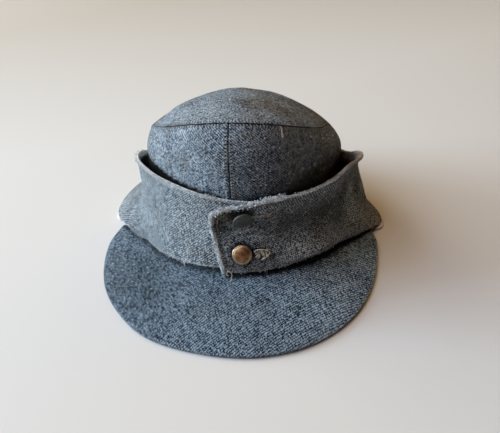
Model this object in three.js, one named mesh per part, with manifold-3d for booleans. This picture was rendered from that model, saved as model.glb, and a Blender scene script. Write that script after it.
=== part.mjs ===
// A soft wool field cap: a domed top panel, two crown sides that meet in a seam at the front and the back,
// a turned-up band in two halves that button over each other above a cloth-covered peak, two buttons, and
// the pale edge of the lining under the rear of the band. Millimetres, +Z up, the front of the cap faces -Y.
import * as THREE from "three";
import Module from "manifold-3d";

const wasm = await Module();
wasm.setup();

// Driving sizes, in millimetres.
const BASE_HALF_WIDTH = 84;
const BASE_HALF_LENGTH = 92;
const CROWN_WALL = 2;
const BAND_WALL = 2.8;
const GAP = 0.3;
const LINING_THICK = 1.5;
const PEAK_THICK = 4.4;
const PEAK_EDGE_THICK = 3.4;
const PEAK_BULGE = 2.2;
const TOP_HALF_WIDTH = 64.8;
const TOP_HALF_LENGTH = 74;
const TOP_CENTRE_X = -3;
const TOP_CENTRE_Y = 3.5;
const TOP_FRONT_HEIGHT = 125.5;
const TOP_SIDE_HEIGHT = 89.5;
const TOP_BACK_HEIGHT = 75;
const TOP_BACK_NARROWING = 0.21;
const NARROWING_START = 0.2;
const TOP_BACK_SHIFT = 2;
const DOME_RISE = 15;
const DOME_POWER = 2.2;
const BULGE_POWER = 4.5;
const KEEL_OUT = 3.5;
const KEEL_SPAN_ANGLE = 34;
const KEEL_PEAK = 12.2; // brings the top of rise^4 (1 - rise) to 1
const PEAK_ROOT_DROP = 0.8;
const FRONT_SEAM_ANGLE = -3.5;
const BACK_SEAM_ANGLE = 180;
const UNDERLAP_END_ANGLE = 14;
const PEAK_END_ANGLE = 79;
const LINING_START_ANGLE = 89;
const BUTTON_RADIUS = 6.8;
const BUTTON_DOME = 2.6;
const BUTTON_RIM = 1.1;
const SHANK_RADIUS = 1.2;
const SHANK_HOLE_RADIUS = 1.9;
const CROWN_TOP_RISE = 0.975;

// Half a button's outline from the middle of its dome, round its rim, to the middle of its back: how far from
// its axis and how high.
const BUTTON_PROFILE = [
  [0, BUTTON_DOME],
  [BUTTON_RADIUS * 0.35, BUTTON_DOME * 0.93],
  [BUTTON_RADIUS * 0.65, BUTTON_DOME * 0.72],
  [BUTTON_RADIUS * 0.86, BUTTON_DOME * 0.42],
  [BUTTON_RADIUS, BUTTON_RIM * 0.3],
  [BUTTON_RADIUS * 0.97, -BUTTON_RIM * 0.4],
  [BUTTON_RADIUS * 0.8, -BUTTON_RIM * 0.7],
  [0, -BUTTON_RIM * 0.7],
];

// Shares that set how a shape runs between its named sizes.
const SEAM_FRONT_LINEAR = 0.55; // the rest of the front's rise goes with the square
const SEAM_BACK_LINEAR = 0.9;
const PEAK_SIDE_FLATTENING = 0.6;
const PEAK_DROOP_START = 0.9;
const PEAK_DROOP = 0.45;
const PEAK_EDGE_INNER = 0.72;
const BAND_FOOT_ROUNDING = 0.5;
const BAND_TOP_ROUNDING = 0.6;
const PEAK_EDGE_ROUNDING = 0.9;
const TOP_EDGE_ROUNDING = 0.3;
const LINING_TUCK = 1.5;
const LINING_SHOWS = 0.8;
const SQUARE_STEP = 0.02;
const CUT_DEPTH = 30;

// How many steps each long piece is made in.
const CROWN_STEPS = 24;
const CROWN_UP_STEPS = 9;
const BAND_STEPS = 38;
const PEAK_STEPS = 44;
const LINING_STEPS = 36;
const TOP_AROUND = 48;
const BUTTON_AROUND = 20;
const SHANK_AROUND = 12;

// Angles run round the cap in degrees: 0 is the front, 90 the wearer's left side, -90 the right side. Each
// table gives its sizes at a few angles, in the order that its columns name.

// Where the crown's foot stands: its height and how far it stands out from the base oval. Above it the wall
// tucks in behind the band and then bulges below the top seam.
const CROWN_FOOT = table(["angle", "height", "out", "bulge", "tuck"], [
  [-180, 1.8, -4, 77, 0],
  [-150, 1.8, -4, 70, 0],
  [-120, 1.8, -4.5, 60, 0.5],
  [-95, 1.8, -5.5, 50, 0.5],
  [-78, 4.6, -6.5, 54, 0.5],
  [-55, 11.5, -7, 60, 2.5],
  [-30, 20.5, -4, 68, 2],
  [0, 24.8, -2.5, 60, 0],
  [30, 20.5, -4, 77, 0],
  [55, 11.5, -7.5, 104, 1],
  [78, 4.6, -8.5, 134, 2],
  [95, 1.8, -7.5, 134, 2],
  [120, 1.8, -5, 100, 0.5],
  [150, 1.8, -4, 74, 0],
]);

// The outer face of the band's under half: four rings from its foot to its free edge, each with how far it
// stands out and how high.
const BAND_COLUMNS = [
  "angle",
  ...["foot", "belly", "waist", "top"].flatMap((ring) => [ring + "Out", ring + "Z"]),
];
const UNDER_HALF = table(BAND_COLUMNS, [
  [-180, 7, 2.5, 8, 9, 3, 22, -2, 41],
  [-150, 9, 2.5, 10, 9, 3, 22, -2, 41],
  [-125, 13, 2.5, 13, 9, 1, 24, -2, 44],
  [-105, 18, 3, 16, 12, -1.6, 30, -2, 53],
  [-91, 18.5, 3.9, 16, 14, -4.5, 34, -2.5, 64],
  [-76, 9, 8.2, 10, 16, -3.5, 38, -2.2, 71.5],
  [-58, -1, 13.6, -1, 22, -3, 44, -2.8, 76],
  [-35, 2.5, 21.2, 1.5, 29, -2, 50, -3.3, 77.5],
  [-16, 4.5, 25.2, 3.5, 33, -1.2, 52, -3.6, 76.5],
  [0, 3.2, 26.6, 3, 34, -1.2, 53, -3.9, 76],
  [20, 1.5, 25.4, 1, 33, -2.2, 52, -4.4, 74],
]);

// The outer face of the band's over half, which carries the buttonholes, in the same way.
const OVER_HALF = table(BAND_COLUMNS, [
  [-20, 8.4, 25.6, 7.6, 33, 2.6, 54, 1.8, 71],
  [0, 7.4, 25.4, 8, 33, 1.9, 55, 1.3, 74.5],
  [14, 5, 25, 7.2, 33, 1.3, 53, 1.2, 79.4],
  [22, 3.6, 24.4, 7.2, 32.4, -1.4, 49, 2, 80],
  [34, 1.6, 23, 6.8, 30.5, -4.4, 46, 3, 80],
  [58, -1.4, 13.8, 3.6, 22, -5.4, 43, 2.6, 80],
  [77, 12, 8, 12, 15, 0.5, 41, 0, 72],
  [91, 26.5, 4, 18, 15, 6.5, 39, 0, 64],
  [107, 20, 3, 18, 11, 2, 31, -2, 53],
  [130, 12, 2.5, 12, 9, 2, 24, -3, 44],
  [155, 8, 2.5, 9, 9, 3, 22, -2, 41],
  [180, 7, 2.5, 8, 9, 3, 22, -2, 41],
]);
const BAND_RINGS = [0, 0.16, 0.5, 1];

// The over half's free end: the angle it stops at, from its foot at rise 0 to its top corner at rise 1.
const OVER_END = [
  { rise: 0, angle: -6.9 },
  { rise: 0.3, angle: -10 },
  { rise: 0.6, angle: -12.9 },
  { rise: 0.85, angle: -12.6 },
  { rise: 1, angle: -8.6 },
];

// The free edge of the over half rolls outwards at the wearer's left side.
const LIP = { angle: 82, halfSpan: 13, out: 5, start: 0.8 };

// The peak's outer edge, from the wearer's right temple round the front to the left temple.
const PEAK_EDGE = [
  { x: -98, y: -11, z: 2.2 },
  { x: -104, y: -32, z: 2.1 },
  { x: -104.6, y: -54, z: 2 },
  { x: -101.6, y: -77, z: 1.9 },
  { x: -95.4, y: -97, z: 1.8 },
  { x: -85, y: -115.5, z: 1.7 },
  { x: -71, y: -133, z: 1.7 },
  { x: -54, y: -145, z: 1.7 },
  { x: -31, y: -153.4, z: 1.7 },
  { x: -5, y: -157.8, z: 1.7 },
  { x: 18, y: -156.6, z: 1.7 },
  { x: 42, y: -149, z: 1.7 },
  { x: 63, y: -134.6, z: 1.7 },
  { x: 79, y: -116.5, z: 1.7 },
  { x: 90, y: -96, z: 1.8 },
  { x: 97.4, y: -73, z: 1.9 },
  { x: 101.6, y: -49, z: 2 },
  { x: 102.8, y: -28, z: 2.1 },
  { x: 99.5, y: -12, z: 2.2 },
];

// Each button: its middle, the way it faces, its buttonhole's far end and width, and where its level shank
// meets the under half.
const BUTTONS = {
  upper: {
    centre: [2.35, -97, 67.1],
    facing: [0.281, -0.889, -0.362],
    slitEndX: 18.5,
    slitWidth: 1,
    shankEndY: -89.3,
  },
  lower: {
    centre: [1.7, -100.4, 41.6],
    facing: [0.03, -0.9, 0.43],
    slitEndX: 19.5,
    slitWidth: 2.2,
    shankEndY: -93.8,
  },
};

const COLOURS = {
  crown_top: { color: 0x7b8791, roughness: 0.95, metalness: 0 },
  crown_side_left: { color: 0x6c7c8c, roughness: 0.95, metalness: 0 },
  crown_side_right: { color: 0x6c7c8c, roughness: 0.95, metalness: 0 },
  turn_up_under: { color: 0x7d8b98, roughness: 0.95, metalness: 0 },
  turn_up_over: { color: 0x74808a, roughness: 0.95, metalness: 0 },
  peak: { color: 0x566a7c, roughness: 0.95, metalness: 0 },
  button_upper: { color: 0x35332f, roughness: 0.55, metalness: 0.2 },
  button_lower: { color: 0x7a5c3e, roughness: 0.4, metalness: 0.8 },
  lining_edge: { color: 0xcdc0ba, roughness: 0.9, metalness: 0 },
};

const toRadians = THREE.MathUtils.degToRad;

// Rows of numbers as objects with named columns.
function table(columns, rows) {
  return rows.map((row) => Object.fromEntries(columns.map((name, i) => [name, row[i]])));
}

// A value between the rows of a table, smooth and without overshoot. `around` joins the last row to the
// first.
function lookUp(source, column, angle, around = false) {
  const turned = (row, turn) => ({ ...row, angle: row.angle + turn });
  const rows = around
    ? [turned(source[source.length - 1], -360), ...source, turned(source[0], 360), turned(source[1], 360)]
    : source;
  const at = THREE.MathUtils.clamp(angle, rows[0].angle, rows[rows.length - 1].angle);
  let i = 0;
  while (i < rows.length - 2 && at > rows[i + 1].angle) i += 1;
  const rise = (k) => (rows[k + 1][column] - rows[k][column]) / (rows[k + 1].angle - rows[k].angle);
  const slope = (k) => {
    if (k < 1 || k > rows.length - 2) return 0;
    const before = rise(k - 1);
    const after = rise(k);
    return before * after > 0 ? (2 * before * after) / (before + after) : 0;
  };
  const span = rows[i + 1].angle - rows[i].angle;
  const u = (at - rows[i].angle) / span;
  return (
    (2 * u ** 3 - 3 * u ** 2 + 1) * rows[i][column] +
    (u ** 3 - 2 * u ** 2 + u) * span * slope(i) +
    (3 * u ** 2 - 2 * u ** 3) * rows[i + 1][column] +
    (u ** 3 - u ** 2) * span * slope(i + 1)
  );
}

// A point at an angle round the cap, a distance out from the base oval, and a height.
function roundCap(angle, out, height) {
  const t = toRadians(angle);
  return new THREE.Vector3(
    (BASE_HALF_WIDTH + out) * Math.sin(t),
    -(BASE_HALF_LENGTH + out) * Math.cos(t),
    height,
  );
}

function outwards(angle) {
  const t = toRadians(angle);
  return new THREE.Vector3(Math.sin(t), -Math.cos(t), 0);
}

// The seam that joins the top panel to the sides: an oval, high at the front, lower and narrower at the back.
function topSeam(angle) {
  const t = toRadians(angle);
  const front = Math.max(Math.cos(t), 0);
  const back = Math.max(-Math.cos(t), 0);
  const curved = (share, linear) => linear * share + (1 - linear) * share ** 2;
  const height =
    TOP_SIDE_HEIGHT +
    (TOP_FRONT_HEIGHT - TOP_SIDE_HEIGHT) * curved(front, SEAM_FRONT_LINEAR) -
    (TOP_SIDE_HEIGHT - TOP_BACK_HEIGHT) * curved(back, SEAM_BACK_LINEAR);
  const rear = Math.max(NARROWING_START - Math.cos(t), 0) / (1 + NARROWING_START);
  return new THREE.Vector3(
    TOP_CENTRE_X + TOP_HALF_WIDTH * (1 - TOP_BACK_NARROWING * rear) * Math.sin(t) + TOP_BACK_SHIFT * back,
    TOP_CENTRE_Y - TOP_HALF_LENGTH * Math.cos(t),
    height,
  );
}

// The crown's outer face, from its foot at rise 0 to the top seam at rise 1. The front seam stands out as a
// shallow keel.
function crownFace(angle, rise) {
  const at = (column) => lookUp(CROWN_FOOT, column, angle, true);
  const bulge = at("bulge") * Math.max(rise, 0) ** BULGE_POWER * (1 - rise);
  const tuck = at("tuck") * (4 * rise * (1 - rise)) ** 2;
  const nearKeel = Math.max(1 - Math.abs(angle - FRONT_SEAM_ANGLE) / KEEL_SPAN_ANGLE, 0);
  const keel = KEEL_OUT * KEEL_PEAK * rise ** 4 * (1 - rise) * nearKeel;
  const foot = roundCap(angle, at("out"), at("height"));
  return foot.lerp(topSeam(angle), rise).addScaledVector(outwards(angle), bulge + keel - tuck);
}

// The top panel's outer face, from its middle at reach 0 to the seam at reach 1. It slopes back evenly,
// falls away to the lower sides, and domes in the middle.
function topFace(angle, reach) {
  const seam = topSeam(angle);
  const middleHeight = (TOP_FRONT_HEIGHT + TOP_BACK_HEIGHT) / 2;
  const slope = (TOP_FRONT_HEIGHT - TOP_BACK_HEIGHT) / (2 * TOP_HALF_LENGTH);
  const tiltedHeight = (y) => middleHeight - slope * (y - TOP_CENTRE_Y);
  const fall = seam.z - tiltedHeight(seam.y);
  const point = new THREE.Vector3(TOP_CENTRE_X, TOP_CENTRE_Y, 0).lerp(seam, reach);
  point.z = tiltedHeight(point.y) + fall * reach ** 2 + DOME_RISE * (1 - reach ** DOME_POWER);
  return point;
}

// The band's outer face, from its foot at rise 0 to its free edge at rise 1.
function bandFace(half, angle, rise) {
  const rings = ["foot", "belly", "waist", "top"].map((ring) => ({
    out: lookUp(half, ring + "Out", angle),
    z: lookUp(half, ring + "Z", angle),
  }));
  const gradient = (key, a, b) => (rings[b][key] - rings[a][key]) / (BAND_RINGS[b] - BAND_RINGS[a]);
  const i = rise <= BAND_RINGS[1] ? 0 : rise <= BAND_RINGS[2] ? 1 : 2;
  const span = BAND_RINGS[i + 1] - BAND_RINGS[i];
  const u = (rise - BAND_RINGS[i]) / span;
  const value = (key) =>
    (2 * u ** 3 - 3 * u ** 2 + 1) * rings[i][key] +
    (u ** 3 - 2 * u ** 2 + u) * span * gradient(key, Math.max(i - 1, 0), i === 0 ? 1 : i + 1) +
    (3 * u ** 2 - 2 * u ** 3) * rings[i + 1][key] +
    (u ** 3 - u ** 2) * span * gradient(key, i, Math.min(i + 2, 3));
  let out = value("out");
  if (half === OVER_HALF) {
    const along = Math.max(0, 1 - ((angle - LIP.angle) / LIP.halfSpan) ** 2);
    const up = THREE.MathUtils.clamp((rise - LIP.start) / (1 - LIP.start), 0, 1);
    out += LIP.out * along ** 2 * up ** 2;
  }
  return roundCap(angle, out, value("z"));
}

// The inner face that lies one wall's thickness behind a face, measured square to it.
function behind(face, angle, rise, wall, lowest = -Infinity) {
  const low = Math.max(rise - SQUARE_STEP, 0);
  const high = Math.min(rise + SQUARE_STEP, 1);
  const upwards = face(angle, high).sub(face(angle, low));
  const across = outwards(angle);
  const square = new THREE.Vector3().crossVectors(
    new THREE.Vector3(-across.y, across.x, 0),
    upwards,
  );
  square.normalize();
  const point = face(angle, rise).addScaledVector(square, -wall);
  point.z = Math.max(point.z, lowest);
  return point;
}

// A closed mesh from points and triangles, with collapsed triangles left out.
function meshGeometry(points, triangles) {
  const geometry = new THREE.BufferGeometry();
  const kept = triangles.filter(([a, b, c]) => a !== b && b !== c && a !== c);
  geometry.setAttribute(
    "position",
    new THREE.Float32BufferAttribute(points.flatMap((p) => [p.x, p.y, p.z]), 3),
  );
  geometry.setIndex(kept.flat());
  geometry.computeVertexNormals();
  return geometry;
}

// A cloth wall from stations along it. Each station holds matching points on its outer and inner face,
// and its two long edges are rounded by one point each.
function wallGeometry(stations) {
  const points = [];
  const triangles = [];
  const loops = stations.map(({ outer, inner, bottomEdge, topEdge }) => {
    const loop = [...outer, topEdge, ...inner.slice().reverse(), bottomEdge];
    const first = points.length;
    points.push(...loop);
    return { first, size: loop.length, count: outer.length };
  });
  const size = loops[0].size;
  const count = loops[0].count;
  for (let s = 0; s < loops.length - 1; s += 1) {
    for (let k = 0; k < size; k += 1) {
      const a = loops[s].first + k;
      const b = loops[s].first + ((k + 1) % size);
      const c = loops[s + 1].first + ((k + 1) % size);
      const d = loops[s + 1].first + k;
      triangles.push([a, d, c], [a, c, b]);
    }
  }
  for (const [loop, flip] of [
    [loops[0], false],
    [loops[loops.length - 1], true],
  ]) {
    const end = [];
    const outerAt = (i) => loop.first + i;
    const innerAt = (i) => loop.first + 2 * count - i;
    for (let i = 0; i < count - 1; i += 1) {
      end.push([outerAt(i), outerAt(i + 1), innerAt(i + 1)]);
      end.push([outerAt(i), innerAt(i + 1), innerAt(i)]);
    }
    end.push([outerAt(count - 1), loop.first + count, innerAt(count - 1)]);
    end.push([innerAt(0), loop.first + size - 1, outerAt(0)]);
    triangles.push(...end.map(([a, b, c]) => (flip ? [a, c, b] : [a, b, c])));
  }
  return meshGeometry(points, triangles);
}

// Rounds an edge: a point half way between the two faces, moved out along the wall.
function roundedEdge(outer, inner, nextOuter, amount) {
  const along = outer.clone().sub(nextOuter).normalize();
  return outer.clone().lerp(inner, 0.5).addScaledVector(along, amount);
}

// The angle at which the over half ends for a rise, straight between the rows of its table.
function overEnd(rise) {
  let i = 0;
  while (i < OVER_END.length - 2 && rise > OVER_END[i + 1].rise) i += 1;
  const share = (rise - OVER_END[i].rise) / (OVER_END[i + 1].rise - OVER_END[i].rise);
  return THREE.MathUtils.lerp(OVER_END[i].angle, OVER_END[i + 1].angle, share);
}

function spread(from, to, steps) {
  return Array.from({ length: steps + 1 }, (_, i) => from + ((to - from) * i) / steps);
}

function crownSide(fromAngle, toAngle) {
  const rises = spread(0, CROWN_TOP_RISE, CROWN_UP_STEPS);
  const last = rises.length - 1;
  const stations = spread(fromAngle, toAngle, CROWN_STEPS).map((angle) => {
    const outer = rises.map((rise) => crownFace(angle, rise));
    const inner = rises.map((rise) => behind(crownFace, angle, rise, CROWN_WALL, outer[0].z));
    return {
      outer,
      inner,
      bottomEdge: outer[0].clone().lerp(inner[0], 0.5),
      topEdge: outer[last].clone().lerp(inner[last], 0.5),
    };
  });
  return wallGeometry(stations);
}

// One half of the band. Its first end may lean: `startAt` gives the angle it starts at for each rise.
function bandHalf(half, startAt, toAngle) {
  const rises = [0, 0.06, 0.13, 0.23, 0.35, 0.48, 0.62, 0.76, 0.88, 1];
  const last = rises.length - 1;
  const face = (angle, rise) => bandFace(half, angle, rise);
  const lowest = LINING_THICK + GAP;
  const stations = spread(0, 1, BAND_STEPS).map((share) => {
    const angles = rises.map((rise) => THREE.MathUtils.lerp(startAt(rise), toAngle, share));
    const outer = rises.map((rise, i) => face(angles[i], rise));
    const inner = rises.map((rise, i) => behind(face, angles[i], rise, BAND_WALL, lowest));
    const bottomEdge = roundedEdge(outer[0], inner[0], outer[1], BAND_FOOT_ROUNDING);
    bottomEdge.z = Math.max(bottomEdge.z, lowest);
    const topEdge = roundedEdge(outer[last], inner[last], outer[last - 1], BAND_TOP_ROUNDING);
    return { outer, inner, bottomEdge, topEdge };
  });
  return wallGeometry(stations);
}

function topPanel() {
  const reaches = [0.2, 0.42, 0.64, 0.82, 0.94, 1];
  const lowered = (point, by) => point.setZ(point.z - by);
  const points = [topFace(0, 0), lowered(topFace(0, 0), CROWN_WALL)];
  const triangles = [];
  const at = (ring, k) => 2 + ring * TOP_AROUND + (k % TOP_AROUND);
  const rings = [
    ...reaches.map((reach) => (angle) => topFace(angle, reach)),
    (angle) => lowered(topFace(angle, 1), CROWN_WALL / 2).addScaledVector(outwards(angle), TOP_EDGE_ROUNDING),
    ...reaches.toReversed().map((reach) => (angle) => lowered(topFace(angle, reach), CROWN_WALL)),
  ];
  for (const ring of rings) {
    for (let k = 0; k < TOP_AROUND; k += 1) points.push(ring((360 * k) / TOP_AROUND));
  }
  const lastRing = rings.length - 1;
  for (let k = 0; k < TOP_AROUND; k += 1) {
    triangles.push([0, at(0, k), at(0, k + 1)]);
    for (let ring = 0; ring < lastRing; ring += 1) {
      triangles.push([at(ring, k), at(ring + 1, k), at(ring + 1, k + 1)]);
      triangles.push([at(ring, k), at(ring + 1, k + 1), at(ring, k + 1)]);
    }
    triangles.push([1, at(lastRing, k + 1), at(lastRing, k)]);
  }
  return meshGeometry(points, triangles);
}

// The peak: its inner edge tucks under the crown's foot, its outer edge droops to the ground.
function peakSolid() {
  const edge = new THREE.CatmullRomCurve3(PEAK_EDGE.map((p) => new THREE.Vector3(p.x, p.y, p.z)));
  const crossings = [0, 0.16, 0.36, 0.56, 0.74, 0.88, 0.96, 1];
  const last = crossings.length - 1;
  const stations = spread(1, -1, PEAK_STEPS).map((s) => {
    const angle = PEAK_END_ANGLE * s;
    const root = roundCap(
      angle,
      lookUp(CROWN_FOOT, "out", angle, true) - CROWN_WALL,
      lookUp(CROWN_FOOT, "height", angle, true) - PEAK_ROOT_DROP,
    );
    const rim = edge.getPoint((s + 1) / 2);
    rim.z += PEAK_EDGE_THICK / 2;
    const outer = crossings.map((r) => {
      const point = root.clone().lerp(rim, r);
      const droop = Math.max(r - PEAK_DROOP_START, 0) / (1 - PEAK_DROOP_START);
      point.z += PEAK_BULGE * 4 * r * (1 - r) * (1 - PEAK_SIDE_FLATTENING * s * s);
      point.z -= (PEAK_EDGE_THICK / 2) * PEAK_DROOP * droop ** 2;
      return point;
    });
    const inner = outer.map((point, i) => {
      const thick = THREE.MathUtils.lerp(PEAK_THICK, PEAK_EDGE_THICK * PEAK_EDGE_INNER, crossings[i] ** 3);
      return new THREE.Vector3(point.x, point.y, Math.max(point.z - thick, 0));
    });
    const beforeRim = outer[last - 1].clone().setZ(outer[last].z);
    return {
      outer,
      inner,
      bottomEdge: outer[0].clone().lerp(inner[0], 0.5),
      topEdge: roundedEdge(outer[last], inner[last], beforeRim, PEAK_EDGE_ROUNDING),
    };
  });
  return wallGeometry(stations);
}

function liningEdge() {
  const from = LINING_START_ANGLE;
  const to = 360 - LINING_START_ANGLE;
  const across = [0, 1];
  const stations = spread(to, from, LINING_STEPS).map((angle) => {
    const signed = angle > 180 ? angle - 360 : angle;
    const half = signed < 0 ? UNDER_HALF : OVER_HALF;
    const inside = lookUp(CROWN_FOOT, "out", signed, true) - CROWN_WALL - LINING_TUCK;
    const outside = lookUp(half, "footOut", signed) + LINING_SHOWS;
    const outer = across.map((a) => roundCap(signed, inside + (outside - inside) * a, LINING_THICK));
    const inner = across.map((a) => roundCap(signed, inside + (outside - inside) * a, 0));
    return {
      outer,
      inner,
      bottomEdge: outer[0].clone().lerp(inner[0], 0.5),
      topEdge: outer[1].clone().lerp(inner[1], 0.5),
    };
  });
  return wallGeometry(stations);
}

// A domed button turned towards its facing, and the level shank behind it.
function buttonGeometry(button) {
  const profile = BUTTON_PROFILE;
  const points = [];
  const triangles = [];
  const facing = new THREE.Vector3(...button.facing).normalize();
  const turn = new THREE.Quaternion().setFromUnitVectors(new THREE.Vector3(0, 0, 1), facing);
  const centre = new THREE.Vector3(...button.centre);
  const place = (x, y, z) => new THREE.Vector3(x, y, z).applyQuaternion(turn).add(centre);
  points.push(place(0, 0, profile[0][1]), place(0, 0, profile[profile.length - 1][1]));
  const middle = profile.slice(1, -1);
  for (const [radius, height] of middle) {
    for (let k = 0; k < BUTTON_AROUND; k += 1) {
      const t = (2 * Math.PI * k) / BUTTON_AROUND;
      points.push(place(radius * Math.cos(t), radius * Math.sin(t), height));
    }
  }
  const at = (ring, k) => 2 + ring * BUTTON_AROUND + (k % BUTTON_AROUND);
  for (let k = 0; k < BUTTON_AROUND; k += 1) {
    triangles.push([0, at(0, k), at(0, k + 1)]);
    for (let ring = 0; ring < middle.length - 1; ring += 1) {
      triangles.push([at(ring, k), at(ring + 1, k), at(ring + 1, k + 1)]);
      triangles.push([at(ring, k), at(ring + 1, k + 1), at(ring, k + 1)]);
    }
    triangles.push([1, at(middle.length - 1, k + 1), at(middle.length - 1, k)]);
  }
  const shankLength = button.shankEndY - centre.y;
  const shank = new THREE.CylinderGeometry(SHANK_RADIUS, SHANK_RADIUS, shankLength, SHANK_AROUND);
  shank.translate(centre.x, centre.y + shankLength / 2, centre.z);
  const disc = toSolid(meshGeometry(points, triangles));
  return toGeometry(disc.add(solidOfSoup(shank)));
}

function toSolid(geometry) {
  return new wasm.Manifold(
    new wasm.Mesh({
      numProp: 3,
      vertProperties: new Float32Array(geometry.getAttribute("position").array),
      triVerts: new Uint32Array(geometry.index.array),
    }),
  );
}

function toGeometry(solid) {
  const mesh = solid.getMesh();
  const geometry = new THREE.BufferGeometry();
  const positions = [];
  for (let i = 0; i < mesh.numVert; i += 1) {
    positions.push(...mesh.vertProperties.subarray(i * mesh.numProp, i * mesh.numProp + 3));
  }
  geometry.setAttribute("position", new THREE.Float32BufferAttribute(positions, 3));
  geometry.setIndex(Array.from(mesh.triVerts));
  geometry.computeVertexNormals();
  return geometry;
}

// The over half's two buttonholes: a round eye for the shank that runs out into a slit.
function cutButtonholes(geometry) {
  let solid = toSolid(geometry);
  for (const button of Object.values(BUTTONS)) {
    const [x, y, z] = button.centre;
    const slit = new THREE.BoxGeometry(button.slitEndX - x, CUT_DEPTH, button.slitWidth);
    slit.translate((x + button.slitEndX) / 2, y, z);
    const eye = new THREE.CylinderGeometry(SHANK_HOLE_RADIUS, SHANK_HOLE_RADIUS, CUT_DEPTH, SHANK_AROUND);
    eye.translate(x, y, z);
    solid = solid.subtract(solidOfSoup(slit)).subtract(solidOfSoup(eye));
  }
  return toGeometry(solid);
}

// A solid from a geometry whose faces don't share their corners yet.
function solidOfSoup(geometry) {
  const source = geometry.index ? geometry.toNonIndexed() : geometry;
  const position = source.getAttribute("position");
  const seen = new Map();
  const points = [];
  const order = [];
  for (let i = 0; i < position.count; i += 1) {
    const key = [position.getX(i), position.getY(i), position.getZ(i)].map((v) => v.toFixed(4)).join();
    if (!seen.has(key)) {
      seen.set(key, points.length);
      points.push(new THREE.Vector3(position.getX(i), position.getY(i), position.getZ(i)));
    }
    order.push(seen.get(key));
  }
  const triangles = [];
  for (let i = 0; i < order.length; i += 3) triangles.push(order.slice(i, i + 3));
  return toSolid(meshGeometry(points, triangles));
}

const seamGap = THREE.MathUtils.radToDeg(GAP / 2 / TOP_HALF_LENGTH);
const shapes = {
  crown_top: topPanel(),
  crown_side_left: crownSide(FRONT_SEAM_ANGLE + seamGap, BACK_SEAM_ANGLE - seamGap),
  crown_side_right: crownSide(-BACK_SEAM_ANGLE + seamGap, FRONT_SEAM_ANGLE - seamGap),
  turn_up_under: bandHalf(UNDER_HALF, () => -BACK_SEAM_ANGLE + seamGap, UNDERLAP_END_ANGLE),
  turn_up_over: cutButtonholes(bandHalf(OVER_HALF, overEnd, BACK_SEAM_ANGLE - seamGap)),
  peak: peakSolid(),
  button_upper: buttonGeometry(BUTTONS.upper),
  button_lower: buttonGeometry(BUTTONS.lower),
  lining_edge: liningEdge(),
};

const group = new THREE.Group();
group.name = "field_cap";
for (const [name, geometry] of Object.entries(shapes)) {
  const mesh = new THREE.Mesh(geometry, new THREE.MeshStandardMaterial(COLOURS[name]));
  mesh.name = name;
  group.add(mesh);
}

// The origin lies on the ground under the middle of the cap's box.
const box = new THREE.Box3().setFromObject(group);
const middle = box.getCenter(new THREE.Vector3());
group.position.set(-middle.x, -middle.y, -box.min.z);

export default group;
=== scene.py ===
# %% [markdown]
# # A soft wool field cap
#
# The cap is sewn from a few shaped pieces of grey-blue wool: a domed top panel, two crown sides that meet in
# a seam at the front, a turned-up band in two halves that button over each other, and a cloth-covered peak.
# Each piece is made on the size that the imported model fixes, so the model is loaded before anything else.

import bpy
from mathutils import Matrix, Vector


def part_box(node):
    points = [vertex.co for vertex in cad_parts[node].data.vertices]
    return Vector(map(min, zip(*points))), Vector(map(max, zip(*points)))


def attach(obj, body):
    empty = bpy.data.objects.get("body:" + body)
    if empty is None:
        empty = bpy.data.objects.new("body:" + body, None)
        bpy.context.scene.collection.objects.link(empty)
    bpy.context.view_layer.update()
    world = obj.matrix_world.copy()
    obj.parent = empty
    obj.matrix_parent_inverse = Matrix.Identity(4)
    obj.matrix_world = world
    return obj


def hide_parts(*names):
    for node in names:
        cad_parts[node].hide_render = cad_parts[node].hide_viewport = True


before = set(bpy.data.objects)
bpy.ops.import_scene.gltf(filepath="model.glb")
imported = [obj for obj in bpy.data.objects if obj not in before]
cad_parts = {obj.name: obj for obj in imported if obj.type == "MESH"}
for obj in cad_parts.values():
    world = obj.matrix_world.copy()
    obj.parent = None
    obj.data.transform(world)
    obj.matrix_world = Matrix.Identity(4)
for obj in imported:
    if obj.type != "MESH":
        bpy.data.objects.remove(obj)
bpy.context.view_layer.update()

# %% Tools used all through the lesson
import math
import random

import bmesh
import bpy
from mathutils import Matrix, Vector, noise

MM = 0.001
print("nodes to build on:", sorted(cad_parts))

# %% [markdown]
# The cap's own middle isn't the middle of its box, because the peak reaches out in front. The lower button
# fixes where the middle is: the tables further on hold the button's place measured from it.

# %% Where the middle of the cap is
LOWER_BUTTON_X = 1.7
SHANK_ENDS = {"upper": -89.3, "lower": -93.8}
button_low, button_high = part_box("button_lower")
cap_x = (button_low.x + button_high.x) / 2 / MM - LOWER_BUTTON_X
cap_y = button_high.y / MM - SHANK_ENDS["lower"]
cap_middle = Vector((cap_x, cap_y, 0))
print("middle of the cap, in millimetres:", [round(c, 3) for c in cap_middle])


def in_metres(point):
    """A point measured in millimetres from the middle of the cap, in metres in the model's frame."""
    return (Vector(point) + cap_middle) * MM


# %% [markdown]
# ## Camera
#
# The camera stands in front of the cap and looks down on it at about 34 degrees, with a slightly long lens.
# It comes first, so that every piece can be judged from where it will be seen.

# %% The camera
LOOK_AT = (5.574, -54.923, 42.269)
LOOK_DOWN = math.radians(33.87)
LOOK_ROUND = math.radians(2.272)
LEAN = math.radians(-0.615)
CAMERA_AWAY = 560
LENS = 55.775

level = math.cos(LOOK_DOWN)
backwards = Vector((math.sin(LOOK_ROUND) * level, -math.cos(LOOK_ROUND) * level, math.sin(LOOK_DOWN)))
level_right = (-backwards).cross(Vector((0, 0, 1))).normalized()
level_up = level_right.cross(-backwards)
right = level_right * math.cos(LEAN) + level_up * math.sin(LEAN)
up = level_up * math.cos(LEAN) - level_right * math.sin(LEAN)
turn = Matrix((right, up, backwards)).transposed().to_4x4()

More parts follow.
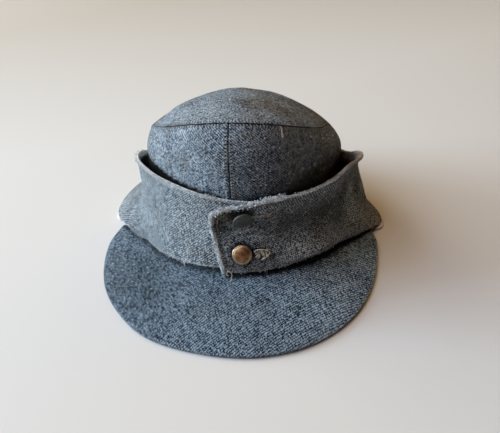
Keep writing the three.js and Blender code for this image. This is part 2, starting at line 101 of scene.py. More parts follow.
camera_data = bpy.data.cameras.new("camera")
camera_data.lens = LENS
camera_data.sensor_width = 36
camera_data.clip_start = 0.01
camera = bpy.data.objects.new("camera", camera_data)
bpy.context.scene.collection.objects.link(camera)
camera.matrix_world = Matrix.Translation(in_metres(LOOK_AT) + backwards * CAMERA_AWAY * MM) @ turn
bpy.context.scene.camera = camera
print("camera at", [round(c, 3) for c in camera.location])

# %% [markdown]
# ## Light
#
# Soft daylight comes from a window on the left, low and a little blue. The walls behind and the ceiling send
# back a little warm light, and hardly any comes from the right, so that side of the cap falls into brown
# shade. Large square lights give such soft shadows without any wall in the way.

# %% Soft lights, each at a direction round the cap and a height above the floor
LIGHT_AWAY = 2.2
LIGHT_AIM = Vector((0, 0, 0.03))
LIGHTS = (
    ("window_low", -90, 12, 1.2, (52.6, 64.1, 71.2)),
    ("window_high", -90, 40, 1.5, (12.0, 16.7, 22.6)),
    ("window_front", -50, 50, 1.5, (15.3, 16.4, 18.0)),
    ("wall_behind_left", -122, 27, 1.2, (12.3, 10.0, 5.0)),
    ("ceiling_behind", 180, 75, 1.2, (7.5, 4.3, 2.2)),
    ("ceiling_front", 0, 70, 1.2, (3.2, 1.8, 1.2)),
    ("wall_behind_right", 135, 45, 1.2, (4.1, 3.3, 0.8)),
)


def soft_light(name, around, above, size, watts):
    """A square area light that faces the cap. Its power is given for red, green and blue, in watts."""
    around, above = math.radians(around), math.radians(above)
    level = math.cos(above)
    direction = Vector((math.sin(around) * level, -math.cos(around) * level, math.sin(above)))
    data = bpy.data.lights.new(name, "AREA")
    data.size = size
    data.energy = max(watts)
    data.color = [share / max(watts) for share in watts]
    light = bpy.data.objects.new(name, data)
    bpy.context.scene.collection.objects.link(light)
    light.location = LIGHT_AIM + direction * LIGHT_AWAY
    light.rotation_euler = direction.to_track_quat("Z", "Y").to_euler()


for row in LIGHTS:
    soft_light(*row)
world = bpy.data.worlds.new("room_light")
world.use_nodes = True
world.node_tree.nodes["Background"].inputs["Color"].default_value = (1.0, 0.25, 0.05, 1)
world.node_tree.nodes["Background"].inputs["Strength"].default_value = 0.012
bpy.context.scene.world = world
bpy.context.scene.view_settings.view_transform = "Standard"
print("lights:", [row[0] for row in LIGHTS])

# %% [markdown]
# ## A small language for materials
#
# A material is a sum: so much of the weave, so much of the wear. Two small classes let it be written that
# way. `Wire` wraps the output of a node, and adding or multiplying wires adds the Math nodes. `Finish` holds
# a material and makes every other kind of node with one method.


# %% Wires
class Wire:
    """The output of a node, which can be used in sums."""

    def __init__(self, finish, socket):
        self.finish = finish
        self.socket = socket

    def math(self, operation, other=0.0):
        return self.finish.node("Math", {"operation": operation}, Value=self, Value_001=other)

    def __rsub__(self, other):
        return self.finish.node("Math", {"operation": "SUBTRACT"}, Value=other, Value_001=self)

    def between(self, low, high, start=0.0, end=1.0):
        """This wire's range from low to high, stretched to run from start to end and held there."""
        ends = {"From_Min": low, "From_Max": high, "To_Min": start, "To_Max": end}
        return self.finish.node("MapRange", {"clamp": True}, Value=self, **ends)


def worked_by(operation):
    """A method that adds one Math node."""
    return lambda wire, other=0.0: wire.math(operation, other)


WIRE_SUMS = {
    "__add__": "ADD",
    "__radd__": "ADD",
    "__mul__": "MULTIPLY",
    "__rmul__": "MULTIPLY",
    "__sub__": "SUBTRACT",
    "__truediv__": "DIVIDE",
    "__pow__": "POWER",
    "floor": "FLOOR",
    "fraction": "FRACT",
    "sine": "SINE",
    "size": "ABSOLUTE",
}
for method, operation in WIRE_SUMS.items():
    setattr(Wire, method, worked_by(operation))
print("a wire understands:", *WIRE_SUMS)


# %% Finishes
class Finish:
    """A material, and the way to add nodes to it."""

    def __init__(self, name):
        self.material = bpy.data.materials.new(name)
        self.material.use_nodes = True
        self.tree = self.material.node_tree
        self.shader = self.tree.nodes["Principled BSDF"]

    def feed(self, socket, value):
        if isinstance(value, Wire):
            self.tree.links.new(value.socket, socket)
        elif hasattr(value, "__len__") and socket.type == "RGBA":
            socket.default_value = (*value[:3], 1)
        else:
            socket.default_value = value

    def find(self, sockets, key):
        if isinstance(key, int):
            return sockets[key]
        return next(s for s in sockets if s.identifier == key or s.name == key.replace("_", " "))

    def node(self, kind, settings=None, out=0, **sockets):
        """Any node: its kind, its settings, which output is wanted, and what each input gets."""
        made = self.tree.nodes.new("ShaderNode" + kind)
        for key, value in (settings or {}).items():
            if key == "stops":
                self.set_stops(made.color_ramp, value)
            else:
                setattr(made, key, value)
        for key, value in sockets.items():
            self.feed(self.find(made.inputs, key), value)
        return Wire(self, self.find(made.outputs, out))

    def set_stops(self, ramp, stops):
        while len(ramp.elements) < len(stops):
            ramp.elements.new(1)
        for element, (place, colour) in zip(ramp.elements, stops):
            element.position = place
            element.color = (*colour, 1)

    def set(self, **sockets):
        for key, value in sockets.items():
            self.feed(self.find(self.shader.inputs, key), value)

    def mix(self, share, first, second, blend="MIX"):
        kind = {"data_type": "RGBA", "blend_type": blend}
        return self.node("Mix", kind, "Result_Color", Factor_Float=share, A_Color=first, B_Color=second)

    def scaled(self, vector, amount):
        return self.node("VectorMath", {"operation": "SCALE"}, Vector=vector, Scale=amount)

    def along(self, vector, direction):
        kind = {"operation": "DOT_PRODUCT"}
        return self.node("VectorMath", kind, "Value", Vector=vector, Vector_001=direction)

    def spot(self):
        return self.node("TexCoord", out="Object")

    def noise(self, where, size, detail=2.0, roughness=0.5, seed=0.0):
        """Soft random light and dark about as wide as size, in metres."""
        look = {"Detail": detail, "Roughness": roughness}
        return self.node("TexNoise", {"noise_dimensions": "4D"}, Vector=where, W=seed, Scale=1 / size, **look)

    def bump(self, strength, distance, height):
        return self.node("Bump", Strength=strength, Distance=distance, Height=height)


print("node helpers ready")

# %% [markdown]
# ## Floor
#
# The floor is one large, plain, pale plane. Its colour is painted darker and browner towards the back left,
# as
# shade: a smooth mix of two colours that starts behind the cap.

# %% A plain floor
FLOOR_SIZE = 14
TO_BACK_LEFT = (-0.56, 0.83, 0)
floor_mesh = bpy.data.meshes.new("floor")
floor_bm = bmesh.new()
bmesh.ops.create_grid(floor_bm, x_segments=1, y_segments=1, size=FLOOR_SIZE / 2)
floor_bm.to_mesh(floor_mesh)
floor_bm.free()
floor = bpy.data.objects.new("floor", floor_mesh)
bpy.context.scene.collection.objects.link(floor)

floor_paint = Finish("pale_floor")
# Painted shade: the floor's colour turns darker and browner towards the back left.
floor_share = floor_paint.along(floor_paint.spot(), TO_BACK_LEFT).between(0.22, 0.56)
floor_colour = floor_paint.mix(floor_share, (0.74, 0.727, 0.71), (0.61, 0.565, 0.515))
floor_paint.set(Base_Color=floor_colour, Roughness=0.9, Specular_IOR_Level=0.1)
floor_mesh.materials.append(floor_paint.material)
print("floor of", FLOOR_SIZE, "metres")

# %% [markdown]
# ## Wool twill
#
# The cloth is a coarse twill that has been milled and worn: every yarn float is a little lighter or darker
# than its neighbours, the floats lie in slanting ribs, and pale hairs and dark pits break them up. The weave
# follows each piece's own cut, so it reads a UV map that is laid out in metres. Threads of geometry would be
# far too many, so nodes draw the floats and a bump lifts them.

# %% The weave
RIB_MM = 1.62
FLOAT_MM = 0.62
RIB_SLANT = math.radians(52)


def weave(paint, where, coarse):
    """How light the twill is at each spot, where its hairs are, and how high it stands."""
    cut = paint.scaled(paint.node("UVMap", {"uv_map": "cut"}), 1 / MM / coarse)
    wander = paint.noise(where, 0.003, detail=3.0, roughness=0.6, seed=3.0)
    across_ribs = (math.cos(RIB_SLANT), math.sin(RIB_SLANT), 0)
    along_ribs = (-math.sin(RIB_SLANT), math.cos(RIB_SLANT), 0)
    ribs = paint.along(cut, across_ribs) / RIB_MM + wander * 1.5
    row = ribs.floor()
    floats = paint.along(cut, along_ribs) / FLOAT_MM + row * 0.5 + wander * 0.7
    cell = paint.node("CombineXYZ", X=row, Y=floats.floor())
    each_float = paint.node("TexWhiteNoise", {"noise_dimensions": "2D"}, Vector=cell)
    rib = (ribs.fraction() * math.pi).sine()
    rounded = rib * (floats.fraction() * math.pi).sine() ** 0.5
    fluff = paint.noise(where, 0.0012, roughness=0.6, seed=7.0).between(0.3, 0.7)
    hairs = paint.noise(where, 0.0006, detail=1.0, seed=11.0).between(0.3, 0.7)
    fading = paint.noise(where, 0.022, detail=3.0, roughness=0.55, seed=1.0).between(0.3, 0.7)
    tone = each_float * 0.29 + rib * 0.14 + hairs * 0.35 + rounded * 0.2 + (fading - 0.5) * 0.07
    return tone, hairs, rounded * 0.8 + fluff * 0.4 + hairs * 0.8


print("ribs", RIB_MM, "mm apart, floats", FLOAT_MM, "mm long")

# %% [markdown]
# Free edges are rubbed pale and ragged, and seams are dark lines with a row of stitch pits beside them. Both
# need finer detail than the mesh has, so each piece carries its distance from the nearest edge as an
# attribute, and the finish draws the line from that. Other attributes carry wear, dust mixed with painted
# warm shade, and the painted light and shade that make the cloth lighter or darker.

# %% The wool finish
RUBBED_MM = 2.3
GROOVE_MM = 4.2
GROOVE_WIDE_MM = 0.9
SEAM_MM = 1.15
STITCH_ROW_MM = 2.3
STITCH_STEP_MM = 2.5
TONE_STOPS = (0.34, 0.49, 0.645)
DUST_AND_WARM_SHADE = (0.60, 0.47, 0.36)
SEAM_DARK = (0.006, 0.006, 0.007)
MARKS = ("edge", "run", "wear", "grime", "fade")


def wool(name, floats, pale, seam=0.0, stained=0.3, coarse=1.0):
    """Milled wool twill: its floats from dark to light, its rubbed edges, and how strong its seams are."""
    paint = Finish(name)
    where = paint.spot()
    tone, hairs, height = weave(paint, where, coarse)
    cloth = paint.node("ValToRGB", {"stops": list(zip(TONE_STOPS, floats))}, Fac=tone)
    marks = [paint.node("Attribute", {"attribute_name": mark}, out="Fac") for mark in MARKS]
    edge, run, wear, grime, fade = marks
    ragged = paint.noise(where, 0.0016, seed=21.0)
    wobbling = edge + (ragged - 0.5) * 1.4

    stitch_row = (1.0 - (wobbling - STITCH_ROW_MM).size() / 1.0).between(0.0, 0.7) * seam
    stitch_wave = (run * (2 * math.pi / STITCH_STEP_MM)).sine()
    stitch_pits = stitch_row * stitch_wave.between(-0.2, 0.9) * 0.85
    stitch_beads = stitch_row * stitch_wave.between(-0.1, -0.9) * 0.7
    near_edge = (1.0 - edge / (ragged * 2 * RUBBED_MM)).between(0.0, 0.4)
    rubbed = (wear * near_edge * (0.7 + hairs * 0.6) + stitch_beads).between(0.0, 1.0)
    worn = paint.mix(rubbed, cloth, paint.mix(hairs, [c * 0.4 for c in pale], pale))

    blotches = paint.noise(where, 0.017, detail=3.0, roughness=0.6, seed=5.0).between(0.52, 0.72)
    # Brown from random stains, plus the grime and the painted warm shade that each piece carries.
    dirt_and_warm_shade = (grime + blotches * stained).between(0.0, 1.0)
    soiled_and_warm_shaded = paint.mix(dirt_and_warm_shade, worn, DUST_AND_WARM_SHADE, blend="MULTIPLY")
    seam_line = (1.0 - wobbling / (SEAM_MM * (0.4 + ragged * 1.2))).between(0.0, 0.6)
    seam_line = seam_line * seam * ragged.between(0.1, 0.5)
    groove = (1.0 - (wobbling - GROOVE_MM).size() / GROOVE_WIDE_MM).between(0.0, 0.8)
    groove = groove * (wear - 0.4).between(0.0, 0.5) * ragged.between(0.35, 0.5) * 0.8
    creased = paint.mix((seam_line + stitch_pits + groove).between(0.0, 1.0), soiled_and_warm_shaded, SEAM_DARK)
    # The cloth's colour is scaled by the painted light and shade that each piece carries.
    paint.set(
        Base_Color=paint.scaled(creased, fade),
        Roughness=0.95,
        Specular_IOR_Level=0.08,
        Sheen_Weight=0.04,
        Sheen_Roughness=0.5,
        Normal=paint.bump(0.85, 0.001, height - stitch_pits * 1.2),
    )
    return paint.material


CROWN_FLOATS = ((0.008, 0.017, 0.034), (0.119, 0.167, 0.222), (0.585, 0.65, 0.71))
BAND_FLOATS = ((0.007, 0.013, 0.022), (0.107, 0.144, 0.175), (0.62, 0.67, 0.71))
PEAK_FLOATS = ((0.002, 0.006, 0.016), (0.047, 0.088, 0.135), (0.385, 0.49, 0.59))
crown_wool = wool("crown_wool", CROWN_FLOATS, (0.72, 0.74, 0.75), seam=1.0, stained=0.6, coarse=0.93)
band_wool = wool("band_wool", BAND_FLOATS, (0.94, 0.96, 0.95), stained=0.45, coarse=0.95)
peak_wool = wool("peak_wool", PEAK_FLOATS, (0.5, 0.54, 0.57))
print("wool finishes:", crown_wool.name, band_wool.name, peak_wool.name)

# %% [markdown]
# ## Measuring round the cap
#
# Angles run round the cap in degrees: 0 is the front, 90 the wearer's left. A short table gives a size at a
# few angles, and a smooth curve that never overshoots its rows gives it in between. That is how a pattern
# cutter works too: a few measured points, joined with a curved rule.


# %% Reading a table
def between_ends(u, span, start, start_slope, end, end_slope):
    """A smooth curve from start to end with a given slope at both, at share u of the span."""
    return (
        (2 * u**3 - 3 * u**2 + 1) * start
        + (u**3 - 2 * u**2 + u) * span * start_slope
        + (3 * u**2 - 2 * u**3) * end
        + (u**3 - u**2) * span * end_slope
    )


def smooth_rows(places, values, at):
    """A smooth value at a place between rows, without overshoot."""
    at = min(max(at, places[0]), places[-1])
    i = 0
    while i < len(places) - 2 and at > places[i + 1]:
        i += 1

    def rise(k):
        return (values[k + 1] - values[k]) / (places[k + 1] - places[k])

    def slope(k):
        if k < 1 or k > len(places) - 2:
            return 0
        before, after = rise(k - 1), rise(k)
        return 2 * before * after / (before + after) if before * after > 0 else 0

    span = places[i + 1] - places[i]
    return between_ends((at - places[i]) / span, span, values[i], slope(i), values[i + 1], slope(i + 1))


class Table:
    """Rows of numbers with named columns, read at any angle. A closed table runs on past its last row."""

    def __init__(self, columns, rows, closed=False):
        if closed:
            rows = [(rows[-1][0] - 360, *rows[-1][1:]), *rows] + [(r[0] + 360, *r[1:]) for r in rows[:2]]
        self.places = [row[0] for row in rows]
        self.columns = {name: [row[k + 1] for row in rows] for k, name in enumerate(columns)}

    def read(self, column, angle):
        return smooth_rows(self.places, self.columns[column], angle)


print("half way up a smooth step of 10:", smooth_rows((0, 1), (0, 10), 0.5))

# %% The cap's measures
# The crown: where its foot stands and how far out from the base oval. Above it the wall tucks in behind the
# band and then bulges below the top seam.
crown_foot = Table(
    ("height", "out", "bulge", "tuck"),
    [
        (-180, 1.8, -4, 77, 0), (-150, 1.8, -4, 70, 0), (-120, 1.8, -4.5, 60, 0.5), (-95, 1.8, -5.5, 50, 0.5),
        (-78, 4.6, -6.5, 54, 0.5), (-55, 11.5, -7, 60, 2.5), (-30, 20.5, -4, 68, 2), (0, 24.8, -2.5, 60, 0),
        (30, 20.5, -4, 77, 0), (55, 11.5, -7.5, 104, 1), (78, 4.6, -8.5, 134, 2), (95, 1.8, -7.5, 134, 2),
        (120, 1.8, -5, 100, 0.5), (150, 1.8, -4, 74, 0),
    ],
    closed=True,
)
# The band's outer face in four rings, from its foot to its free edge: how far out and how high each one is.
BAND_COLUMNS = ("foot_out", "foot_z", "belly_out", "belly_z", "waist_out", "waist_z", "top_out", "top_z")
under_half = Table(
    BAND_COLUMNS,
    [
        (-180, 7, 2.5, 8, 9, 3, 22, -2, 41),
        (-150, 9, 2.5, 10, 9, 3, 22, -2, 41),
        (-125, 13, 3.4, 12, 9.6, -1, 24, -3, 44),
        (-105, 19.6, 8, 12.8, 15.4, -4.6, 30, -3, 53),
        (-91, 19.6, 9.4, 13.4, 17, -6, 34, -2.7, 64),
        (-76, 9, 9.4, 10, 17, -3.5, 38, -2.2, 71.5),
        (-58, -1, 13.6, -1, 22, -3, 44, -2.8, 77),
        (-35, 2.5, 21.2, 1.5, 29, -2, 50, -3.3, 79.5),
        (-16, 4.5, 25.2, 3.5, 33, -1.2, 52, -3.6, 78),
        (0, 3.2, 26.6, 3, 34, -1.2, 53, -3.9, 76),
        (20, 1.5, 25.4, 1, 33, -2.2, 52, -4.4, 74),
    ],
)
over_half = Table(
    BAND_COLUMNS,
    [
        (-20, 8.4, 25.6, 7.6, 33, 2.6, 54, 1.8, 71),
        (0, 7.4, 25.4, 8, 33, 1.9, 55, 1.3, 74.5),
        (14, 5, 25, 7.2, 33, 1.3, 53, 1.2, 79.4),
        (22, 3.6, 24.4, 7.2, 32.4, -1.4, 49, 2, 80),
        (34, 1.6, 23, 6.8, 30.5, -4.4, 46, 3, 80),
        (58, -1.4, 13.8, 3.6, 22, -5.4, 43, 2.6, 80),
        (77, 12, 8, 12, 15, 0.5, 41, 0, 72),
        (91, 26, 4, 15.2, 14, 7.6, 39, 0, 64),
        (107, 20, 3, 15.5, 11, 2.5, 31, -2, 53),
        (130, 12, 2.5, 12, 9, 2, 24, -3, 44),
        (155, 8, 2.5, 9, 9, 3, 22, -2, 41),
        (180, 7, 2.5, 8, 9, 3, 22, -2, 41),
    ],
)
print("crown foot at the front:", round(crown_foot.read("height", 0), 2), "mm above the ground")


# %% Two soft steps
def hump(distance, width):
    """A smooth bump of height 1 about as wide as width on each side."""
    return math.exp(-((distance / width) ** 2))


def ease(value, low, high):
    """0 below low, 1 above high, and smooth in between."""
    share = min(max((value - low) / (high - low), 0), 1)
    return share * share * (3 - 2 * share)


print("half way up a soft step from 0 to 10:", ease(5, 0, 10))

# %% The crown's sizes
BASE_HALF_WIDTH = 84
BASE_HALF_LENGTH = 92
TOP_HALF_WIDTH = 64.8
TOP_HALF_LENGTH = 74
TOP_CENTRE = Vector((-3, 3.5, 0))
TOP_FRONT_HEIGHT = 125.5
TOP_SIDE_HEIGHT = 89.5
TOP_BACK_HEIGHT = 75
TOP_BACK_NARROWING = 0.21
NARROWING_START = 0.2
TOP_BACK_SHIFT = 2
FRONT_STRAIGHT = 0.55
BACK_STRAIGHT = 0.9
DOME_RISE = 15
DOME_POWER = 2.2
BULGE_POWER = 4.5
FRONT_SEAM = -3.5
KEEL_OUT = 3.5
KEEL_SPAN = 34
KEEL_PEAK = 12.2
print("base oval of the crown:", 2 * BASE_HALF_WIDTH, "by", 2 * BASE_HALF_LENGTH, "mm")


# %% The faces of the crown
def outwards(angle):
    t = math.radians(angle)
    return Vector((math.sin(t), -math.cos(t), 0))


def round_cap(angle, out, height):
    """A point at an angle round the cap, a distance out from the base oval, and a height."""
    way = outwards(angle)
    return Vector(((BASE_HALF_WIDTH + out) * way.x, (BASE_HALF_LENGTH + out) * way.y, height))


def top_seam(angle):
    """The seam between the top panel and the sides: high at the front, lower and narrower at the back."""
    t = math.radians(angle)
    front, back = max(math.cos(t), 0), max(-math.cos(t), 0)
    climb = FRONT_STRAIGHT * front + (1 - FRONT_STRAIGHT) * front**2
    fall = BACK_STRAIGHT * back + (1 - BACK_STRAIGHT) * back**2
    height = TOP_SIDE_HEIGHT + (TOP_FRONT_HEIGHT - TOP_SIDE_HEIGHT) * climb
    height -= (TOP_SIDE_HEIGHT - TOP_BACK_HEIGHT) * fall
    rear = max(NARROWING_START - math.cos(t), 0) / (1 + NARROWING_START)
    across = TOP_HALF_WIDTH * (1 - TOP_BACK_NARROWING * rear) * math.sin(t) + TOP_BACK_SHIFT * back
    return Vector((TOP_CENTRE.x + across, TOP_CENTRE.y - TOP_HALF_LENGTH * math.cos(t), height))


def crown_face(angle, rise):
    """The crown's side, from its foot at rise 0 to the top seam at rise 1."""
    foot = round_cap(angle, crown_foot.read("out", angle), crown_foot.read("height", angle))
    bulge = crown_foot.read("bulge", angle) * max(rise, 0) ** BULGE_POWER * (1 - rise)
    tuck = crown_foot.read("tuck", angle) * (4 * rise * (1 - rise)) ** 2
    near_keel = max(1 - abs(angle - FRONT_SEAM) / KEEL_SPAN, 0)
    keel = KEEL_OUT * KEEL_PEAK * rise**4 * (1 - rise) * near_keel
    return foot.lerp(top_seam(angle), rise) + outwards(angle) * (bulge + keel - tuck)


def top_face(angle, reach):
    """The top panel, from its middle at reach 0 to the seam at reach 1."""
    seam = top_seam(angle)
    slope = (TOP_FRONT_HEIGHT - TOP_BACK_HEIGHT) / (2 * TOP_HALF_LENGTH)

    def tilted(y):
        return (TOP_FRONT_HEIGHT + TOP_BACK_HEIGHT) / 2 - slope * (y - TOP_CENTRE.y)

    point = TOP_CENTRE.lerp(Vector((seam.x, seam.y, 0)), reach)
    fall = seam.z - tilted(seam.y)
    point.z = tilted(point.y) + fall * reach**2 + DOME_RISE * (1 - reach**DOME_POWER)
    return point


print("top of the crown at", round(top_face(0, 0).z, 1), "mm")

# %% The faces of the band
BAND_RINGS = ("foot", "belly", "waist", "top")
RING_RISES = (0, 0.16, 0.5, 1)
# At both sides of the cap the band's free edge curls outwards, most of all at the wearer's left.
CURLS = {
    over_half: {"angle": 83, "half_span": 25, "start": 0.77, "out": 6.0, "up": 4.0, "down": 4.5, "in": 0},
    under_half: {"angle": -80, "half_span": 34, "start": 0.86, "out": 1.4, "up": 0.6, "down": 1.0, "in": 0.4},
}


def band_face(table, angle, rise):
    """The band's outer face, from its foot at rise 0 to its free edge at rise 1."""
    i = 0 if rise <= RING_RISES[1] else 1 if rise <= RING_RISES[2] else 2
    span = RING_RISES[i + 1] - RING_RISES[i]

    def value(key):
        rings = [table.read(f"{ring}_{key}", angle) for ring in BAND_RINGS]

        def gradient(a, b):
            return (rings[b] - rings[a]) / (RING_RISES[b] - RING_RISES[a])

        start_slope = gradient(max(i - 1, 0), i + 1)
        end_slope = gradient(i, min(i + 2, 3))
        u = (rise - RING_RISES[i]) / span
        return between_ends(u, span, rings[i], start_slope, rings[i + 1], end_slope)

    curl = CURLS[table]
    along = max(0, 1 - ((angle - curl["angle"]) / curl["half_span"]) ** 2) ** 2
    up_curl = min(max((rise - curl["start"]) / (1 - curl["start"]), 0), 1)
    out = value("out") + along * (curl["out"] * up_curl**1.8 - curl["in"] * ease(rise, 0.5, 1))
    height = value("z") + along * (curl["up"] * up_curl - curl["down"] * up_curl**4)
    return round_cap(angle, out, height)


def under_face(angle, rise):
    return band_face(under_half, angle, rise)


print("band's free edge at the front:", [round(c, 1) for c in band_face(over_half, 0, 1)])

# %% [markdown]
# ## Laying a piece of cloth
#
# A cloth simulation would crumple the cap in its own way, and this cap has a known shape. So each piece
# starts as a flat grid, and each corner of the grid is moved to its place on the cap, then in or out along
# the face for seams, folds and lumps. The grid has closer lines where a seam or an edge needs them. The
# sheet then gets its wall and one subdivision, which rounds its cut edges.


# %% Lines of a grid, closer together where detail is wanted
def lines(start, end, step, fine=(), fine_step=None, reach=0.0, extra=()):
    """Places from start to end about a step apart, or fine_step within reach of the places in fine."""
    found = [start]
    while found[-1] < end:
        here = found[-1]
        close = any(abs(here - place) < reach or (here < place - reach < here + step) for place in fine)
        found.append(here + (fine_step if close and fine_step else step))
    share = (end - start) / (found[-1] - start)
    found = [start + (place - start) * share for place in found]
    gap = (end - start) / len(found) * 0.3
    found = [place for place in found if all(abs(place - keep) > gap for keep in extra)]
    return sorted([*found, *extra])


def lump(x, y, size, seed):
    """Soft random rise and fall, from -1 to 1, over a size in millimetres."""
    return noise.noise(Vector((x / size, y / size, seed)))


def lengths(places):
    """How far each place in a row lies from the first, measured along the row."""
    found = [0.0]
    for here, there in zip(places, places[1:]):
        found.append(found[-1] + (there - here).length)
    return found


print("example of grid lines:", [round(x, 2) for x in lines(0, 10, 3, fine=(0,), fine_step=1, reach=2)])


# %% From a sheet to a piece with a wall
def place_piece(name, mesh, material):
    """Puts a finished mesh in the scene as a piece that moves with the cap."""
    mesh.name = name
    mesh.materials.clear()
    mesh.materials.append(material)
    for face in mesh.polygons:
        face.use_smooth = True
    piece = bpy.data.objects.new(name, mesh)
    bpy.context.scene.collection.objects.link(piece)
    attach(piece, "root")
    print(name, "has", sum(len(f.vertices) - 2 for f in mesh.polygons), "triangles")
    return piece


def stand_for(piece, node):
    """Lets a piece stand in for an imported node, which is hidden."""
    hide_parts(node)
    return piece


def made_mesh(data, kind=None, **settings):
    """The mesh that a curve gives, or that a modifier makes of another mesh."""
    rough = bpy.data.objects.new("rough", data)
    bpy.context.scene.collection.objects.link(rough)
    modifier = rough.modifiers.new("step", kind) if kind else None
    for key, value in settings.items():
        setattr(modifier, key, value)
    made = bpy.data.meshes.new_from_object(rough.evaluated_get(bpy.context.evaluated_depsgraph_get()))
    bpy.data.objects.remove(rough)
    return made


def walled_mesh(bm, wall):
    """Gives a sheet its wall, scales the painted light and shade of its inside by the share marked there, and
    rounds it.
    """
    sheet = bpy.data.meshes.new("sheet")
    bm.to_mesh(sheet)
    bm.free()
    walled = made_mesh(sheet, "SOLIDIFY", thickness=wall * MM, offset=-1, use_even_offset=True)
    inner = slice(len(sheet.vertices), None)
    for shade, share in zip(walled.attributes["fade"].data[inner], walled.attributes["inside"].data[inner]):
        shade.value *= share.value
    mesh = made_mesh(walled, "SUBSURF", levels=1, render_levels=1)
    for vert in mesh.vertices:
        vert.co.z = max(vert.co.z, 0)
    return mesh


print("walls ready")

# %% The tailor: a grid becomes a piece of cloth
# By default the inside of a wall is painted at 0.3 of its lightness, as shade.
UNMARKED = {"edge": 30.0, "run": 0.0, "wear": 0.0, "grime": 0.0, "fade": 1.0, "inside": 0.3}


def flat(spot):
    return 0


def unmarked(spot):
    return {}


def straight_cut(spot):
    return spot["along"], spot["up"]


def lay_cloth(
    name, node, finish, wall, columns, rows, face, relief=flat, marks=unmarked, cut=straight_cut, holes=None
):
    """Lays a grid on a face. relief, marks and cut each get a spot: where it is, and its way along and up."""
    bm = bmesh.new()
    bmesh.ops.create_grid(bm, x_segments=len(columns) - 1, y_segments=len(rows) - 1, size=1)
    bm.verts.index_update()
    count = len(columns)
    for vert in bm.verts:
        vert.co = face(columns[vert.index % count], rows[vert.index // count])
    bm.normal_update()
    places = [vert.co.copy() for vert in bm.verts]
    middle = len(rows) // 2 * count
    along = lengths(places[middle : middle + count])
    ups = [lengths(places[i::count]) for i in range(count)]

    cut_layer = bm.loops.layers.uv.new("cut")
    layers = {mark: bm.verts.layers.float.new(mark) for mark in UNMARKED}
    for vert, place in zip(bm.verts, places):
        i, j = vert.index % count, vert.index // count
        spot = {"u": columns[i], "v": rows[j], "at": place}
        spot.update(along=along[i], left=along[-1] - along[i], up=ups[i][j], down=ups[i][-1] - ups[i][j])
        found = {**UNMARKED, **marks(spot)}
        for mark, layer in layers.items():
            vert[layer] = found[mark]
        for loop in vert.link_loops:
            loop[cut_layer].uv = [length * MM for length in cut(spot)]
        vert.co = in_metres(place + vert.normal * relief(spot))
    if holes:

        def corners(patch):
            return [(columns[v.index % count], rows[v.index // count]) for v in patch.verts]

        inside = [patch for patch in bm.faces if holes(corners(patch))]
        bmesh.ops.delete(bm, geom=inside, context="FACES")
    return stand_for(place_piece(name, walled_mesh(bm, wall), finish), node)


print("tailor ready")

# %% [markdown]
# ## Crown sides
#
# The two sides meet in a seam at the front. The edges turn in at a seam, their turnings lie flat behind the
# cloth and lift it a little, and a line of stitches holds the turnings down. A seam modelled this way, in
# the height of the face, catches the light from every side, which a painted line doesn't.

# %% Seams
TURNING = 4.2
STITCH_STEP = 3.4


def seam_relief(distance, along):
    """How far a face stands out near a seam: turned in, lifted over its turning, drawn in by stitches."""
    turned_in = -0.9 * hump(distance, 0.7)
    lifted = 0.5 * (ease(distance, 0.6, 1.6) - ease(distance, TURNING - 0.6, TURNING + 0.8))
    stitches = 0.55 + 0.45 * math.cos(2 * math.pi * along / STITCH_STEP)
    return turned_in + lifted - 0.4 * hump(distance - TURNING, 0.8) * stitches


def crown_relief(seed):
    def relief(spot):
        x, z = spot["at"].x, spot["at"].z
        side = min(spot["along"], spot["left"])
        soft = 0.9 * lump(x, z, 30, seed) + 0.35 * lump(x, z, 11, seed + 5)
        at_seams = (seam_relief(spot["down"], spot["along"]), seam_relief(side, spot["up"]))
        held = ease(min(spot["down"], side), 1, 14)
        return soft * held + (min(at_seams) if min(at_seams) < 0 else max(at_seams))

    return relief


print("a seam is", round(-seam_relief(0, 0), 2), "mm deep")

# %% [markdown]
# The gap behind the band looks almost black on the real cap, and the soft lights here leave it grey. So the
# crown's cloth is painted almost black below a height that a table gives for each angle. That line follows
# the band's edge as the camera in front sees it, so from the sides and from above the paint can be seen.
# Other patches paint shade on the crown, most of it on the front towards the wearer's left: each has a
# middle, a reach, and how much it changes the cloth.

# %% Painted shade and patches on the crown
HIDDEN = Table(
    ("below", "soft"),
    [
        (-180, 42, 4), (-125, 44, 4), (-97, 54, 5), (-84, 65, 3), (-76.5, 75.6, 1), (-70, 75.6, 0.4),
        (-64, 74.6, 0.4), (-50, 76.2, 0.4), (-37, 76.7, 0.4), (-26, 77, 0.4), (-15, 76.6, 0.5), (-3, 74.5, 1),
        (15, 76, 2), (31, 76, 4), (48, 72, 6), (57, 70, 6), (65, 72, 5), (70, 76, 5), (78, 74, 4),
        (88, 66, 4), (105, 50, 4), (130, 42, 4),
    ],
    closed=True,
)
# Painted shade on the crown's front, most of it towards the wearer's left.
CROWN_PATCHES = (
    (30, -70, 98, 28, -0.38),
    (6, -82, 100, 10, -0.25),
    (-9, -83, 97, 9, -0.22),
    (58, -46, 94, 20, -0.12),
    (-26, -73, 113, 11, -0.16),
)
PAINTED_SHADE = 0.985


def painted_light_at(point, patches):
    """How much painted light or shade the cloth has at a point, from the patches about it."""
    light = 1.0
    for x, y, z, reach, change in patches:
        light *= 1 + change * hump((point - Vector((x, y, z))).length, reach)
    return light


